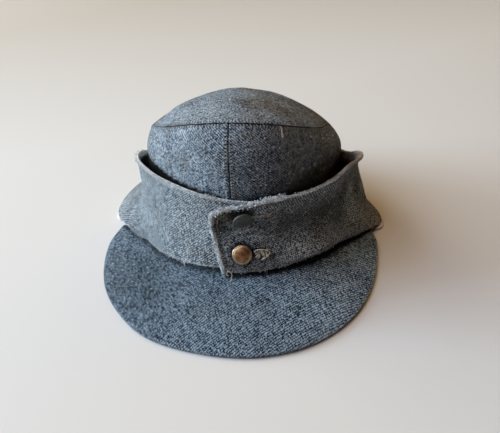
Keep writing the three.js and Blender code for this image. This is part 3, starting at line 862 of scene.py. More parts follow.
def crown_marks(spot):
    angle, point = spot["u"], spot["at"]
    side = min(spot["along"], spot["left"])
    soft = HIDDEN.read("soft", angle)
    hidden = ease(HIDDEN.read("below", angle) - point.z, -soft, soft)
    return {
        "edge": min(spot["down"], side),
        "run": spot["along"] if spot["down"] < side else spot["up"],
        # Painted warm shade: brown on the crown's side towards the wearer's left, which faces away from the
        # window.
        "grime": 0.5 * ease(angle, 0, 30) * (1 - ease(angle, 100, 150)),
        # Painted shade from the patches, and painted almost black behind the band.
        "fade": painted_light_at(point, CROWN_PATCHES) * (1 - PAINTED_SHADE * hidden),
    }


print("at the front the painted shade starts", HIDDEN.read("below", 0), "mm up")

# %% The crown sides
CROWN_CLOTH = 1.8
CROWN_ROWS = lines(0, 1.004, 0.022, fine=(1,), fine_step=0.007, reach=0.07)


def crown_side(name, node, start, end, seams, seed):
    columns = lines(start, end, 1.6, fine=seams, fine_step=0.5, reach=5)
    look = {"relief": crown_relief(seed), "marks": crown_marks}
    return lay_cloth(name, node, crown_wool, CROWN_CLOTH, columns, CROWN_ROWS, crown_face, **look)


crown_left = crown_side("crown_left", "crown_side_left", FRONT_SEAM - 0.3, 180.2, (FRONT_SEAM, 180), 2)
crown_right = crown_side("crown_right", "crown_side_right", -180.2, FRONT_SEAM + 0.3, (FRONT_SEAM, -180), 4)

# %% [markdown]
# ## Top panel
#
# The top is one oval of cloth, domed and a little lumpy. A square grid squeezed into an oval covers it
# without a pole in the middle, so the weave runs straight across it as it does on the real cap.

# %% The top panel
TOP_CLOTH = 1.3
TOP_REACH = 1.012
TOP_CUT_LONGER = 1.06
# Painted light and shade on the top panel: a dark spot at the front, a darker patch towards the wearer's
# left, and a broad lighter patch.
TOP_PATCHES = ((-1, -37, 125, 6, -0.4), (35, 8, 110, 16, -0.2), (20, -30, 124, 60, 0.16))


def disc(a, b):
    """A point of a square grid from -1 to 1, squeezed into a disc: its angle and its reach."""
    x = a * math.sqrt(1 - b * b / 2)
    y = b * math.sqrt(1 - a * a / 2)
    return math.degrees(math.atan2(x, -y)), min(math.hypot(x, y), 1)


def top_spot(a, b):
    """The top panel's face, which runs a little past the seam to meet the sides."""
    angle, reach = disc(a, b)
    return top_face(angle, reach * TOP_REACH)


def top_relief(spot):
    angle, reach = disc(spot["u"], spot["v"])
    distance = (1 - reach) * TOP_HALF_LENGTH
    x, y = spot["at"].x, spot["at"].y
    sunk = -2.2 * hump(distance - 6, 4.5) * hump(angle + 78, 32)
    soft = 1.3 * lump(x, y, 30, 1) + 0.6 * lump(x, y, 13, 8)
    rim = -0.5 * hump(distance, 0.9) + 0.7 * (1 - ease(distance, 4, 12))
    return soft * ease(distance, 2, 16) + rim + sunk


def top_marks(spot):
    angle, reach = disc(spot["u"], spot["v"])
    point = spot["at"]
    return {
        "edge": (1 - reach) * TOP_HALF_LENGTH,
        "run": math.radians(angle) * TOP_HALF_LENGTH,
        # A brown tint in soft random patches, more of it towards the wearer's left.
        "grime": 0.6 * ease(lump(point.x, point.y, 26, 3) + 0.012 * point.x, 0.0, 0.7),
        "fade": painted_light_at(point, TOP_PATCHES),
    }


def top_cut(spot):
    return spot["at"].x, spot["at"].y * TOP_CUT_LONGER


TOP_LINES = lines(-1, 1, 0.045, fine=(-1, 1), fine_step=0.018, reach=0.09)
top_panel = lay_cloth(
    "top_panel", "crown_top", crown_wool, TOP_CLOTH, TOP_LINES, TOP_LINES, top_spot,
    top_relief, top_marks, top_cut,
)

# %% [markdown]
# ## The turned-up band
#
# The band is a strip in two halves. The under half runs from the back round the wearer's right side and
# under the other's end; the over half carries the buttonholes and comes round from the left to button over
# it. Both are laid on the four rings of the band's tables, which is simpler than folding a flat strip up.

# %% The under half
BAND_CLOTH = 2.6
BAND_ROWS = lines(0, 1, 0.045, fine=(0, 1), fine_step=0.02, reach=0.06)
# Painted shade on the under half at the wearer's right side, and painted light towards its front.
UNDER_PATCHES = ((-88, -12, 26, 20, -0.12), (-42, -77, 45, 24, 0.12))


def under_relief(spot):
    x, z = spot["at"].x + spot["at"].y, spot["at"].z
    soft = 0.7 * lump(x, z, 26, 21) + 0.3 * lump(x, z, 9, 22)
    return soft * ease(min(spot["up"], spot["down"]), 0, 8)


def under_marks(spot):
    return {
        "edge": min(spot["down"], spot["up"]),
        "run": spot["along"],
        "wear": 0.45 if spot["down"] < spot["up"] else 0.4 * ease(spot["u"], -70, -20),
        "fade": painted_light_at(spot["at"], UNDER_PATCHES),
        # Painted shade inside the wall, with painted light on the inside near the free edge.
        "inside": 0.04 + 1.9 * (1 - ease(spot["down"], 3.6, 5)),
    }


def under_cut(spot):
    return -spot["along"], spot["up"]


UNDER_COLUMNS = lines(-179.9, 14, 1.3)
band_under = lay_cloth(
    "band_under", "turn_up_under", band_wool, BAND_CLOTH, UNDER_COLUMNS, BAND_ROWS, under_face,
    under_relief, under_marks, under_cut,
)

# %% [markdown]
# The over half stops a little to the wearer's right of the middle, in a slightly ragged end. Its two
# buttonholes are real slits: faces of the grid are left out there, so grid lines have to run along the
# slits. A halving search finds where on the grid a buttonhole lies.

# %% Where the buttonholes lie
BUTTONS = {
    "upper": {"centre": (2.35, -97, 67.1), "facing": (0.281, -0.889, -0.362), "slit_end": 18.5, "slit": 1.0},
    "lower": {"centre": (1.7, -100.4, 41.6), "facing": (0.03, -0.9, 0.43), "slit_end": 19.5, "slit": 2.0},
}
OVER_END_ROWS = ((0, 0.3, 0.6, 0.85, 1), (-6.9, -10, -12.9, -12.6, -8.6))
OVER_BACK = 179.9
ABOUT_HIGH = 50


def over_face(share, rise):
    """The over half's face, from its ragged end at share 0 to the back seam at share 1."""
    ragged = 0.35 * lump(rise * ABOUT_HIGH, 0, 4, 41) + 0.2 * lump(rise * ABOUT_HIGH, 0, 1.7, 42)
    end = smooth_rows(*OVER_END_ROWS, rise) + ragged
    return band_face(over_half, end + (OVER_BACK - end) * share, rise)


def search(high, too_low):
    """The place between 0 and high where too_low stops being true."""
    low = 0.0
    for _ in range(30):
        middle = (low + high) / 2
        low, high = (middle, high) if too_low(middle) else (low, middle)
    return (low + high) / 2


def over_share(x, rise):
    """How far along the over half a point lies that is x to the wearer's left of the middle."""
    return search(0.3, lambda share: over_face(share, rise).x < x)


slits = {}
for key, button in BUTTONS.items():
    x, y, z = button["centre"]
    rise = search(1.0, lambda rise: over_face(0.1, rise).z < z)
    half = button["slit"] / 2 / ABOUT_HIGH
    ends = {"from": over_share(x + 1, rise), "to": over_share(button["slit_end"], rise)}
    slits[key] = {**ends, "low": rise - half, "high": rise + half}
    print(key, "buttonhole:", {k: round(v, 4) for k, v in slits[key].items()})

# %% [markdown]
# A long fold runs back from the upper button. Its hollow is in the band's table, and part of its shade is
# painted here, with two patches of painted light below it. Painted shade makes the cloth darkest right round
# the buttons, two more patches of painted light lie low on the over half and between the buttons, and the
# cloth is palest in a ridge along the worn free end.

# %% Marks on the over half
# Painted shade along the fold, and two patches of painted light below it.
FOLD_PATCHES = (
    (-13, -95, 59, 8, -0.65), (-13, -93, 57.5, 7, -0.55), (16, -92, 61, 8, -0.5), (30, -86, 58, 11, -0.55),
    (42, -78, 56, 12, -0.6), (53, -67, 54, 12, -0.6), (63, -54, 52, 12, -0.55), (72, -39, 51, 11, -0.5),
    (70, -43, 35, 10, -0.35), (85, -14, 44, 6, -0.45), (80, -24, 50, 5, 0.5), (80, -30, 34, 7, 0.45),
    (94, -8, 28, 8, -0.3), (78, -30, 66, 6, -0.3), (103, -8, 75, 9, -0.4),
)
# Painted shade round the buttons.
BUTTON_PATCHES = (
    (2.3, -95, 67, 8.5, -0.85), (1.7, -97, 41.5, 9.3, -0.88), (15.5, -96, 38, 5, -0.8),
    (21, -95, 37, 4, -0.7),
)
# Two more patches of painted light: low on the over half and between the buttons.
OVER_PATCHES = (*FOLD_PATCHES, *BUTTON_PATCHES, (40, -82, 35, 17, 0.9), (6, -98, 51, 7, 0.5))
EAR_AT = 0.49


def under_button(point):
    """Painted shade round the buttons: 1 right beside a button's edge and 0 from about two millimetres
    further out.
    """
    shade = 0
    for button in BUTTONS.values():
        away = point - Vector(button["centre"])
        facing = Vector(button["facing"]).normalized()
        shade = max(shade, 1 - ease((away - facing * away.dot(facing)).length, 7.2, 9.2))
    return shade


def over_marks(spot):
    end, top, foot = spot["along"], spot["down"], spot["up"]
    nearest = min(end, top, foot)
    ear = hump(spot["u"] - EAR_AT, 0.11) * ease(spot["v"], 0.5, 0.8)
    wear = 1.4
    if nearest == foot:
        wear = 0.5 * (1 - ease(end, 60, 90))
    elif nearest == top:
        wear = 1.4 - 0.8 * ease(end, 25, 50) - 0.3 * ease(end, 90, 130)
    return {
        "edge": nearest,
        "run": end,
        "wear": wear,
        # A brown tint: most in the upper corner of the free end, some all over, and more in the ear.
        "grime": min(0.9 * hump(end - 9, 9) * hump(top - 9, 7) + 0.35 + 0.45 * ear, 1),
        # Painted light and shade from the patches, and a ring of painted shade round each button.
        "fade": painted_light_at(spot["at"], OVER_PATCHES) * (1 - 0.85 * under_button(spot["at"])),
        # Painted shade inside the wall, with painted light on the inside of the ear's curl.
        "inside": 0.04 + 2.6 * ear * (1 - ease(top, 6, 10)),
    }


print("shade and wear of the over half:", len(OVER_PATCHES), "patches")


# %% The over half
def over_relief(spot):
    x, z = spot["along"], spot["up"]
    soft = 0.8 * lump(x, z, 26, 51) + 0.35 * lump(x, z, 9, 52)
    edge = min(spot["along"], spot["down"], spot["up"])
    worn = 1 if edge == spot["along"] else 1 - ease(spot["along"], 30, 60)
    ridge = (0.9 + 1.5 * lump(x, z, 2.8, 53)) * hump(edge - 1.5, 1.3) - 1.0 * hump(edge - GROOVE_MM, 0.9)
    return soft * ease(edge, 0, 8) + ridge * worn


def in_slit(corners):
    share, rise = (sum(places) / len(places) for places in zip(*corners))
    return any(s["from"] < share < s["to"] and s["low"] < rise < s["high"] for s in slits.values())


slit_sides = [s[key] for s in slits.values() for key in ("from", "to")]
slit_edges = [s[key] for s in slits.values() for key in ("low", "high")]
OVER_COLUMNS = lines(0, 1, 0.0068, fine=(0.0,), fine_step=0.0028, reach=0.02, extra=slit_sides)
OVER_ROWS = lines(0, 1, 0.045, fine=(0, 1), fine_step=0.02, reach=0.06, extra=slit_edges)
band_over = lay_cloth(
    "band_over", "turn_up_over", band_wool, BAND_CLOTH, OVER_COLUMNS, OVER_ROWS, over_face,
    over_relief, over_marks, holes=in_slit,
)

# %% [markdown]
# ## The peak
#
# The peak is stiff board between two layers of the same wool, darker than the rest of the cap.
# Its root tucks under the band and its outer edge droops until it rests on the ground. A row of
# points gives the outer edge, and straight lines from the crown's foot to that edge, bent up a little in the
# middle, give its upper face.

# %% The peak's faces
PEAK_END = 79
PEAK_EDGE_THICK = 3.4
PEAK_BULGE = 2.2
PEAK_ROOT_DROP = 0.8
PEAK_ROUNDED = 0.45
CROWN_WALL = 2
PEAK_EDGE = (
    (-98, -11, 2.2), (-104, -32, 2.1), (-104.6, -54, 2), (-101.6, -77, 1.9), (-95.4, -97, 1.8),
    (-85, -115.5, 1.7), (-71, -133, 1.7), (-54, -145, 1.7), (-31, -153.4, 1.7), (-5, -157.8, 1.7),
    (18, -156.6, 1.7), (42, -149, 1.7), (63, -134.6, 1.7), (79, -116.5, 1.7), (90, -96, 1.8),
    (97.4, -73, 1.9), (101.6, -49, 2), (102.8, -28, 2.1), (99.5, -12, 2.2),
)


def on_edge(share):
    """A point of the peak's outer edge, from the wearer's right at 0 to the left at 1."""
    last = len(PEAK_EDGE) - 1
    i = min(int(share * last), last - 1)
    t = share * last - i
    a, b, c, d = (Vector(PEAK_EDGE[min(max(i + k, 0), last)]) for k in (-1, 0, 1, 2))
    return (2 * b + (c - a) * t + (2 * a - 5 * b + 4 * c - d) * t**2 + (3 * b - a - 3 * c + d) * t**3) / 2


def peak_face(side, back):
    """The peak's upper face: side from -1 to 1, back 0 at the outer edge and 1 at the root."""
    out = 1 - back
    angle = PEAK_END * side
    root_height = crown_foot.read("height", angle) - PEAK_ROOT_DROP
    root = round_cap(angle, crown_foot.read("out", angle) - CROWN_WALL, root_height)
    rim = on_edge((side + 1) / 2)
    rim.z += PEAK_EDGE_THICK / 2
    point = root.lerp(rim, out)
    point.z += PEAK_BULGE * 4 * out * (1 - out) * (1 - 0.6 * side * side)
    point.z -= PEAK_EDGE_THICK / 2 * PEAK_ROUNDED * (max(out - 0.9, 0) / 0.1) ** 2
    return point


print("the peak ends", round(-peak_face(0, 0).y - BASE_HALF_LENGTH), "mm out from the base oval")

# %% The peak
PEAK_CLOTH = 4.2
OVER_FROM = -7
# Painted light and shade on the peak: lighter towards the wearer's left and along the band's foot, darker
# towards the wearer's right.
PEAK_PATCHES = (
    (-79, -83, 9, 36, -0.38), (58, -110, 11, 36, 0.85), (89, -60, 7, 26, 0.5), (15, -96, 21, 8, 0.5),
    (35, -87, 19, 9, 0.6), (57, -68, 14, 9, 0.6), (76, -44, 9, 9, 0.5), (-41.5, -102.7, 16.6, 2.0, -0.75),
    (-62, -112, 10, 12, -0.2),
)


def peak_relief(spot):
    x, y = spot["at"].x, spot["at"].y
    soft = 0.5 * lump(x, y, 34, 71) + 0.22 * lump(x, y, 10, 72)
    return soft * ease(spot["up"], 2, 12)


def peak_marks(spot):
    """Marks on the peak's cloth, with painted shade where the band covers it."""
    across, forwards = spot["at"].x / BASE_HALF_WIDTH, -spot["at"].y / BASE_HALF_LENGTH
    angle = math.degrees(math.atan2(across, forwards))
    out = (math.hypot(across, forwards) - 1) * BASE_HALF_LENGTH
    table, darker = (over_half, 0.9) if angle > OVER_FROM else (under_half, 0.6)
    # Painted shade on the peak's cloth near and under the band's foot.
    covered = (1 - ease(out - table.read("foot_out", angle), 0, 2)) * darker
    return {"edge": spot["up"], "wear": 0.2, "fade": painted_light_at(spot["at"], PEAK_PATCHES) * (1 - covered)}


def peak_cut(spot):
    return -spot["at"].x, spot["at"].y


PEAK_COLUMNS = lines(-1, 1, 0.0125)
PEAK_ROWS = lines(0, 1, 0.03, fine=(0,), fine_step=0.012, reach=0.05)
peak_cover = lay_cloth(
    "peak_cover", "peak", peak_wool, PEAK_CLOTH, PEAK_COLUMNS, PEAK_ROWS, peak_face,
    peak_relief, peak_marks, peak_cut,
)

# %% [markdown]
# ## The edge of the lining
#
# Under the rear of the band a strip of pinkish-grey lining cotton turns out and rests on the ground. It is
# one more sheet, laid flat, with a slightly ragged edge and a small tag where it ends at the wearer's left.

# %% The lining's edge
LINING_START = 85
LINING_THICK = 1.5
LINING_CLOTH = 1.4
LINING_TUCK = 1.5
LINING_SHOWS = 0.8
LINING_PULLED = 1.2
LINING_TAG = 1.8


def lining_face(angle, inwards):
    signed = angle - 360 if angle > 180 else angle
    table = under_half if signed < 0 else over_half
    inside = crown_foot.read("out", signed) - CROWN_WALL - LINING_TUCK
    pulled_out = LINING_PULLED * lump(signed, 0, 2.5, 83) + LINING_TAG * hump(signed - LINING_START, 6)
    outside = table.read("foot_out", signed) + LINING_SHOWS + pulled_out
    band_inside = table.read("foot_z", signed) - BAND_CLOTH
    lifted = max(band_inside - LINING_THICK, 0) * (1 - ease(inwards, 0.1, 0.7))
    return round_cap(signed, outside + (inside - outside) * inwards, LINING_THICK + lifted)


def lining_relief(spot):
    return 0.15 * lump(spot["at"].x, spot["at"].y, 6, 81)


lining = Finish("lining_cotton")
lining_where = lining.spot()
lining_tone = lining.noise(lining_where, 0.003, detail=4.0).between(0.3, 0.7)
lining.set(
    Base_Color=lining.mix(lining_tone, (0.56, 0.48, 0.46), (0.84, 0.76, 0.73)),
    Roughness=0.9,
    Specular_IOR_Level=0.1,
    Normal=lining.bump(0.4, 0.0004, lining.noise(lining_where, 0.0009)),
)
LINING_COLUMNS = lines(LINING_START, 360 - LINING_START, 2)
lining_strip = lay_cloth(
    "lining_strip", "lining_edge", lining.material, LINING_CLOTH, LINING_COLUMNS, lines(0, 1, 0.1),
    lining_face, lining_relief,
)

# %% [markdown]
# ## Buttons
#
# Each button is a stamped disc: a low dome with a rolled rim and a shank at the back. The upper one is
# painted dark grey, the lower one has lost its paint and shows brown, rubbed brass. A half outline spun
# round its axis gives the disc, and keeps it exactly round.

# %% Buttons
BUTTON_OUTLINE = (
    (0, 2.45), (1.6, 2.4), (3.1, 2.22), (4.4, 1.86), (5.3, 1.42), (5.75, 1.12), (5.95, 1.02), (6.2, 1.06),
    (6.5, 0.86), (6.72, 0.5), (6.8, 0.1), (6.72, -0.25), (6.4, -0.55), (5.6, -0.7), (3.0, -0.72), (0, -0.72),
)
SHANK_RADIUS = 1.2


def make_button(name, key, material):
    bm = bmesh.new()
    ring = [bm.verts.new((radius, 0, height)) for radius, height in BUTTON_OUTLINE]
    edges = [bm.edges.new(pair) for pair in zip(ring, ring[1:])]
    whole = {"cent": (0, 0, 0), "axis": (0, 0, 1), "angle": 2 * math.pi, "steps": 48, "use_merge": True}
    bmesh.ops.spin(bm, geom=[*ring, *edges], **whole)
    bmesh.ops.remove_doubles(bm, verts=bm.verts, dist=0.001)
    bmesh.ops.recalc_face_normals(bm, faces=bm.faces)
    centre = Matrix.Translation(BUTTONS[key]["centre"])
    facing = Vector(BUTTONS[key]["facing"]).normalized().to_track_quat("Z", "Y").to_matrix().to_4x4()
    bmesh.ops.transform(bm, matrix=centre @ facing, verts=bm.verts)
    depth = SHANK_ENDS[key] - BUTTONS[key]["centre"][1]
    level_shank = centre @ Matrix.Translation((0, depth / 2, 0)) @ Matrix.Rotation(math.pi / 2, 4, "X")
    round_shank = {"segments": 16, "radius1": SHANK_RADIUS, "radius2": SHANK_RADIUS}
    bmesh.ops.create_cone(bm, cap_ends=True, depth=depth, matrix=level_shank, **round_shank)
    bmesh.ops.transform(bm, matrix=Matrix.Scale(MM, 4) @ Matrix.Translation(cap_middle), verts=bm.verts)
    mesh = bpy.data.meshes.new(name)
    bm.to_mesh(mesh)
    bm.free()
    return stand_for(place_piece(name, mesh, material), "button_" + key)


print("button outline:", len(BUTTON_OUTLINE), "points")

# %% Brass and paint
RIM_STARTS, RIM_ENDS = 0.0052, 0.0062
brass = Finish("worn_brass")
brass_where = brass.spot()
brass_specks = brass.noise(brass_where, 0.0007, detail=3.0, roughness=0.7).between(0.38, 0.62)
brass_clouds = brass.noise(brass_where, 0.004, detail=3.0, seed=4.0).between(0.3, 0.7)
brown = brass.mix(brass_clouds, (0.19, 0.085, 0.038), (0.50, 0.265, 0.13))
brass_middle = in_metres(BUTTONS["lower"]["centre"])
brass_out = brass.node(
    "VectorMath", {"operation": "DISTANCE"}, "Value", Vector=brass_where, Vector_001=brass_middle
)
brass_rim = brass_out.between(RIM_STARTS, RIM_ENDS)
rubbed_brown = brass.mix(brass_rim * 0.8, brown, (0.82, 0.62, 0.42))
brass.set(
    Base_Color=brass.mix(brass_specks * 0.75, rubbed_brown, (0.06, 0.026, 0.013)),
    Metallic=0.85,
    Roughness=brass_specks.between(0, 1, 0.34, 0.52) - brass_rim * 0.16,
    Normal=brass.bump(0.35, 0.0002, brass_specks),
)
grey_paint = Finish("dark_grey_paint")
grey_clouds = grey_paint.noise(grey_paint.spot(), 0.0022, detail=4.0, roughness=0.7).between(0.3, 0.7)
grey_paint.set(
    Base_Color=grey_paint.mix(grey_clouds, (0.022, 0.023, 0.023), (0.062, 0.062, 0.058)),
    Roughness=grey_clouds.between(0, 1, 0.48, 0.62),
    Metallic=0.1,
    Normal=grey_paint.bump(0.3, 0.0002, grey_clouds),
)
make_button("button_painted", "upper", grey_paint.material)
make_button("button_brass", "lower", brass.material)

# %% [markdown]
# ## Frayed edges
#
# The band's edges are cut, not hemmed. Rubbing has teased pale fibres out of them, most of all along the
# over half's free end. Each fibre is a short thread: a curve with a little round section. Hundreds of them
# share one object, and a fixed seed sets how they curl, so they fall the same way every time.

# %% A thread from a curve
threads_on = {}


def threads(name, paths, thick, material, slot):
    """Fine threads as one piece. Each path is a row of points in millimetres from the middle of the cap."""
    curve = bpy.data.curves.new(name, "CURVE")
    curve.dimensions = "3D"
    curve.bevel_depth = thick / 2 * MM
    curve.bevel_resolution = 0
    curve.use_fill_caps = True
    for path in paths:
        spline = curve.splines.new("POLY")
        spline.points.add(len(path) - 1)
        for point, place in zip(spline.points, path):
            point.co = (*in_metres(place), 1)
    piece = place_piece(name, made_mesh(curve), material)
    threads_on.setdefault(slot, []).append(piece)


def fibre(name, dark, light, size=0.002):
    """Thread or loose fibre, a little uneven in colour along its length."""
    paint = Finish(name)
    uneven = paint.noise(paint.spot(), size, seed=9.0).between(0.3, 0.7)
    paint.set(Base_Color=paint.mix(uneven, dark, light), Roughness=0.9, Specular_IOR_Level=0.1)
    return paint.material


pale_fibre = fibre("pale_fibre", (0.15, 0.17, 0.20), (0.97, 0.99, 1.0), size=0.0017)
lint_fibre = fibre("lint_fibre", (0.62, 0.66, 0.70), (0.98, 0.98, 0.98))
linen_thread = fibre("linen_thread", (0.30, 0.22, 0.15), (1.0, 0.93, 0.80))
grey_thread = fibre("grey_thread", (0.10, 0.10, 0.10), (0.42, 0.40, 0.37))
rosy_thread = fibre("rosy_thread", (0.15, 0.14, 0.14), (0.36, 0.34, 0.34))
rust_thread = fibre("rust_thread", (0.12, 0.08, 0.06), (0.46, 0.36, 0.29))
print("thread finishes ready")


# %% Standing on a face
def stand(face, u, v, step=0.004):
    """A point of a face with the ways along it, up it and off it."""
    along = (face(u + step, v) - face(u - step, v)).normalized()
    upward = (face(u, v + step) - face(u, v - step)).normalized()
    return face(u, v), along, upward, along.cross(upward).normalized()


def spaced(start, end, step):
    """Places from start to end, about a step apart."""
    count = round((end - start) / step)
    return [start + (end - start) * i / max(count, 1) for i in range(count + 1)]


FIBRE_ROOT = 2.0


def any_way(chance):
    return Vector([chance.uniform(-1, 1) for _ in range(3)])


def tuft(chance, place, past, off, length):
    """One short curling fibre at an edge. past leads past the edge and off leads off the face."""
    beside = past.cross(off)
    start = place + beside * chance.uniform(-0.5, 0.5) - past * chance.uniform(0.1, 1.0)
    path = [start + off * chance.uniform(-FIBRE_ROOT, 0.5)]
    way = past * chance.uniform(0.1, 1) + off * chance.uniform(-0.5, 0.9) + beside * chance.uniform(-1, 1)
    curl = any_way(chance) * 0.45
    reach = length * chance.uniform(0.5, 1.2) / 3
    for _ in range(3):
        way = (way.normalized() + curl).normalized()
        path.append(path[-1] + way * reach)
    return path


def fray(name, face, off_way, edges, thick, slot):
    """Fibres along edges: each edge's path, the way in from it, how many a spot has and how long they are."""
    paths = []
    for path, inward, each, length in edges:
        for u, v in path:
            place = face(u, v)
            past = (place - face(u + inward[0], v + inward[1])).normalized()
            off = off_way(u, v)
            off = (off - past * off.dot(past)).normalized()
            paths += [tuft(chance, place, past, off, length) for _ in range(each)]
    threads(name, paths, thick, pale_fibre, slot)


print("frays ready")

# %% Fibres along the band's edges
chance = random.Random(11)
OVER_HIGH = 62
OVER_LONG = 290
WORN_TO = 46 / OVER_LONG


def off_over(u, v):
    return stand(over_face, min(max(u, 0.01), 0.99), min(max(v, 0.01), 0.99))[3]


def off_under(angle, rise):
    return outwards(angle)


fray(
    "frayed_over",
    over_face,
    off_over,
    (
        ([(0, v) for v in spaced(0, 1, 0.45 / OVER_HIGH)], (0.01, 0), 7, 2.5),
        ([(u, 1) for u in spaced(0, WORN_TO, 0.5 / OVER_LONG)], (0, -0.03), 6, 2.5),
        ([(u, 1) for u in spaced(WORN_TO, 0.36, 1.1 / OVER_LONG)], (0, -0.03), 2, 1.5),
        ([(u, 0) for u in spaced(0, 0.33, 1.1 / OVER_LONG)], (0, 0.03), 2, 1.4),
    ),
    0.42,
    "turn_up_over",
)
# Along the under half's free edge and its foot: from and to which angle, at which rise, how many, how long.
UNDER_FRAYS = (
    (-100, 5, 1, 2, 1.3),
    (-18, -12.5, 1, 6, 2.6),
    (-75, -8, 0, 2, 1.4),
    (-28, -26.5, 0, 8, 2.8),
    (-68.4, -66.9, 0, 9, 1.8),
)
under_edges = [
    ([(angle, rise) for angle in spaced(start, end, 0.75)], (0, -0.03 if rise else 0.03), each, length)
    for start, end, rise, each, length in UNDER_FRAYS
]
fray("frayed_under", under_face, off_under, under_edges, 0.32, "turn_up_under")

# %% [markdown]
# ## Stitches
#
# A row of stitches runs a few millimetres inside the over half's edges. Each one is a short thread that
# rises from the cloth and dips back into it.

# %% Rows of stitches
STITCH_GAP = 2.7
inset = GROOVE_MM / OVER_LONG
rise_inset = GROOVE_MM / OVER_HIGH
STITCH_ROWS = (
    ([(inset, v) for v in spaced(rise_inset, 1 - rise_inset, STITCH_GAP / OVER_HIGH)], (0.15, 1), 1.6, 0.0),
    ([(u, 1 - rise_inset) for u in spaced(inset, 0.22, STITCH_GAP / OVER_LONG)], (1, 0.1), 1.7, 0.0),
    ([(u, rise_inset) for u in spaced(inset, 0.3, STITCH_GAP / OVER_LONG)], (0.5, 1), 1.9, 0.3),
)


def stitch(u, v, way, length, lift):
    """One stitch on the over half. Its way is given as shares of along and up."""
    place, along, upward, off = stand(over_face, u, v)
    half = (along * way[0] + upward * way[1]).normalized() * length / 2
    steps = ((-1, -0.5), (-0.6, lift), (0.6, lift), (1, -0.5))
    return [place + half * share + off * height for share, height in steps]


stitches = [stitch(u, v, *look) for spots, *look in STITCH_ROWS for u, v in spots]
threads("band_stitches", stitches, 0.5, grey_thread, "turn_up_over")

# %% [markdown]
# ## Buttonholes
#
# The upper slit is closed over by two rosy lips of buttonhole thread and ends in a rust-coloured bar. The
# lower one has come undone: its linen thread stands out in loops round the end of the slit. Each thread
# follows a few steps along, up and off the cloth, so it stays on the cloth if the cloth changes.

# %% The upper buttonhole
upper_slit, lower_slit = slits["upper"], slits["lower"]
lips = []
for rise, lift in ((upper_slit["low"] - 0.002, 0.15), (upper_slit["high"] - 0.002, 0.25)):
    lips.append([])
    for i in range(15):
        share = upper_slit["from"] + (upper_slit["to"] - upper_slit["from"]) * i / 14
        place, _, upward, off = stand(over_face, share, rise)
        lips[-1].append(place + off * lift + upward * 0.25 * math.sin(i * 1.9))
threads("buttonhole_lips", lips, 0.75, rosy_thread, "turn_up_over")

bar = []
place, along, upward, off = stand(over_face, upper_slit["to"] + 0.0005, upper_slit["low"])
for i in range(7):
    middle = place + along * (i - 3) * 0.42
    top = 1.5 + 0.5 * chance.uniform(-1, 1)
    bar.append([middle - upward * top, middle + off * 0.6, middle + upward * top])
threads("buttonhole_bar", bar, 0.5, rust_thread, "turn_up_over")

# %% The lower buttonhole
LOOPS = 6
loops = []
middle_rise = (lower_slit["low"] + lower_slit["high"]) / 2
for i in range(LOOPS):
    share = lower_slit["from"] + (lower_slit["to"] - lower_slit["from"]) * (0.42 + 0.64 * i / (LOOPS - 1))
    place, along, upward, off = stand(over_face, share, middle_rise)
    side = chance.choice((1, -1, -1, -1))
    tall = side * (chance.uniform(0.9, 2.2) + (4.0 * i / LOOPS if side < 0 else 0))
    lean = chance.uniform(-3.2, 3.2)
    steps = (
        (0, side * 0.3, -0.6),
        (lean * 0.4, tall * 0.6, chance.uniform(0.4, 1.1)),
        (lean, tall, chance.uniform(0.1, 0.5)),
        (lean * 1.2, tall * 0.4, 0.5),
        (lean * 0.7, chance.uniform(-1.5, 1.5), -0.3),
    )
    loops.append([place + along * x + upward * z + off * lift for x, z, lift in steps])

# Longer threads, as steps to the wearer's left, up from the slit and off the cloth.
UNDONE = (
    ((9.5, 0.3, 0.2), (12.6, 1.2, 0.5), (16.0, 1.1, 0.7), (18.8, 0.2, 0.8), (20.4, -2.0, 0.5)),
    ((20.6, -1.2, 0.5), (19.0, -3.4, 1.0), (16.8, -5.2, 0.7), (14.8, -5.9, 0.3)),
    ((13.4, 0.9, 0.4), (16.2, -1.8, 1.2), (16.6, -3.9, 1.0), (15.2, -5.7, 0.3)),
    ((17.2, 0.9, 0.4), (17.8, -2.2, 1.3), (19.6, -4.2, 0.8), (19.2, -5.2, 0.3)),
    ((10.8, -3.8, 0.3), (12.0, -2.2, 0.7), (13.4, -0.4, 0.5), (13.2, -3.2, 0.7), (12.4, -4.2, 0.3)),
)


def beside_slit(x, z, lift):
    rise = middle_rise + z / OVER_HIGH
    place, _, _, off = stand(over_face, over_share(x, rise), rise)
    return place + off * lift


for steps in UNDONE:
    path = [beside_slit(*step) for step in steps]
    for _ in range(3):
        shift = any_way(chance) * 0.4
        loops.append([place + shift for place in path])
threads("buttonhole_loops", loops, 0.48, linen_thread, "turn_up_over")

# %% [markdown]
# ## Loose threads
#
# A thread curls out at the over half's lower corner, and a white one clings to the crown just below the top
# seam. The second one's points are moved to the nearest spot of the finished cloth, so it lies on it.

# %% Loose threads
CURLED = (
    ((0.6, -0.4, 0.2), (1.2, -1.2, 1.6), (2.8, -1.8, 2.2), (4.2, -2.2, 0.9), (4.6, -2.6, -1.2),
     (3.9, -2.9, -3.0), (4.1, -3.2, -4.4)),
    ((1.4, -0.6, 0.2), (0.5, -1.0, -0.9), (1.0, -1.4, -1.9), (2.1, -1.6, -1.6)),
)
CLINGING = (
    ((26.6, -63.6, 119.4, 0.2), (27.0, -64.6, 118, 0.7), (27.2, -65.6, 116.2, 0.5), (28.0, -66.0, 115.0, 0.6),
     (28.2, -67.0, 113.4, 0.4)),
    ((27.2, -65.8, 115.9, 0.5), (26.8, -66.6, 114.4, 0.7), (27.6, -67.2, 113.4, 0.5),
     (28.4, -66.8, 114.0, 0.5)),
)
corner = stand(over_face, 0.004, 0.004)[0]
curled = [[corner + Vector(step) for step in steps] for steps in CURLED]
threads("loose_threads", curled, 0.5, linen_thread, "turn_up_over")


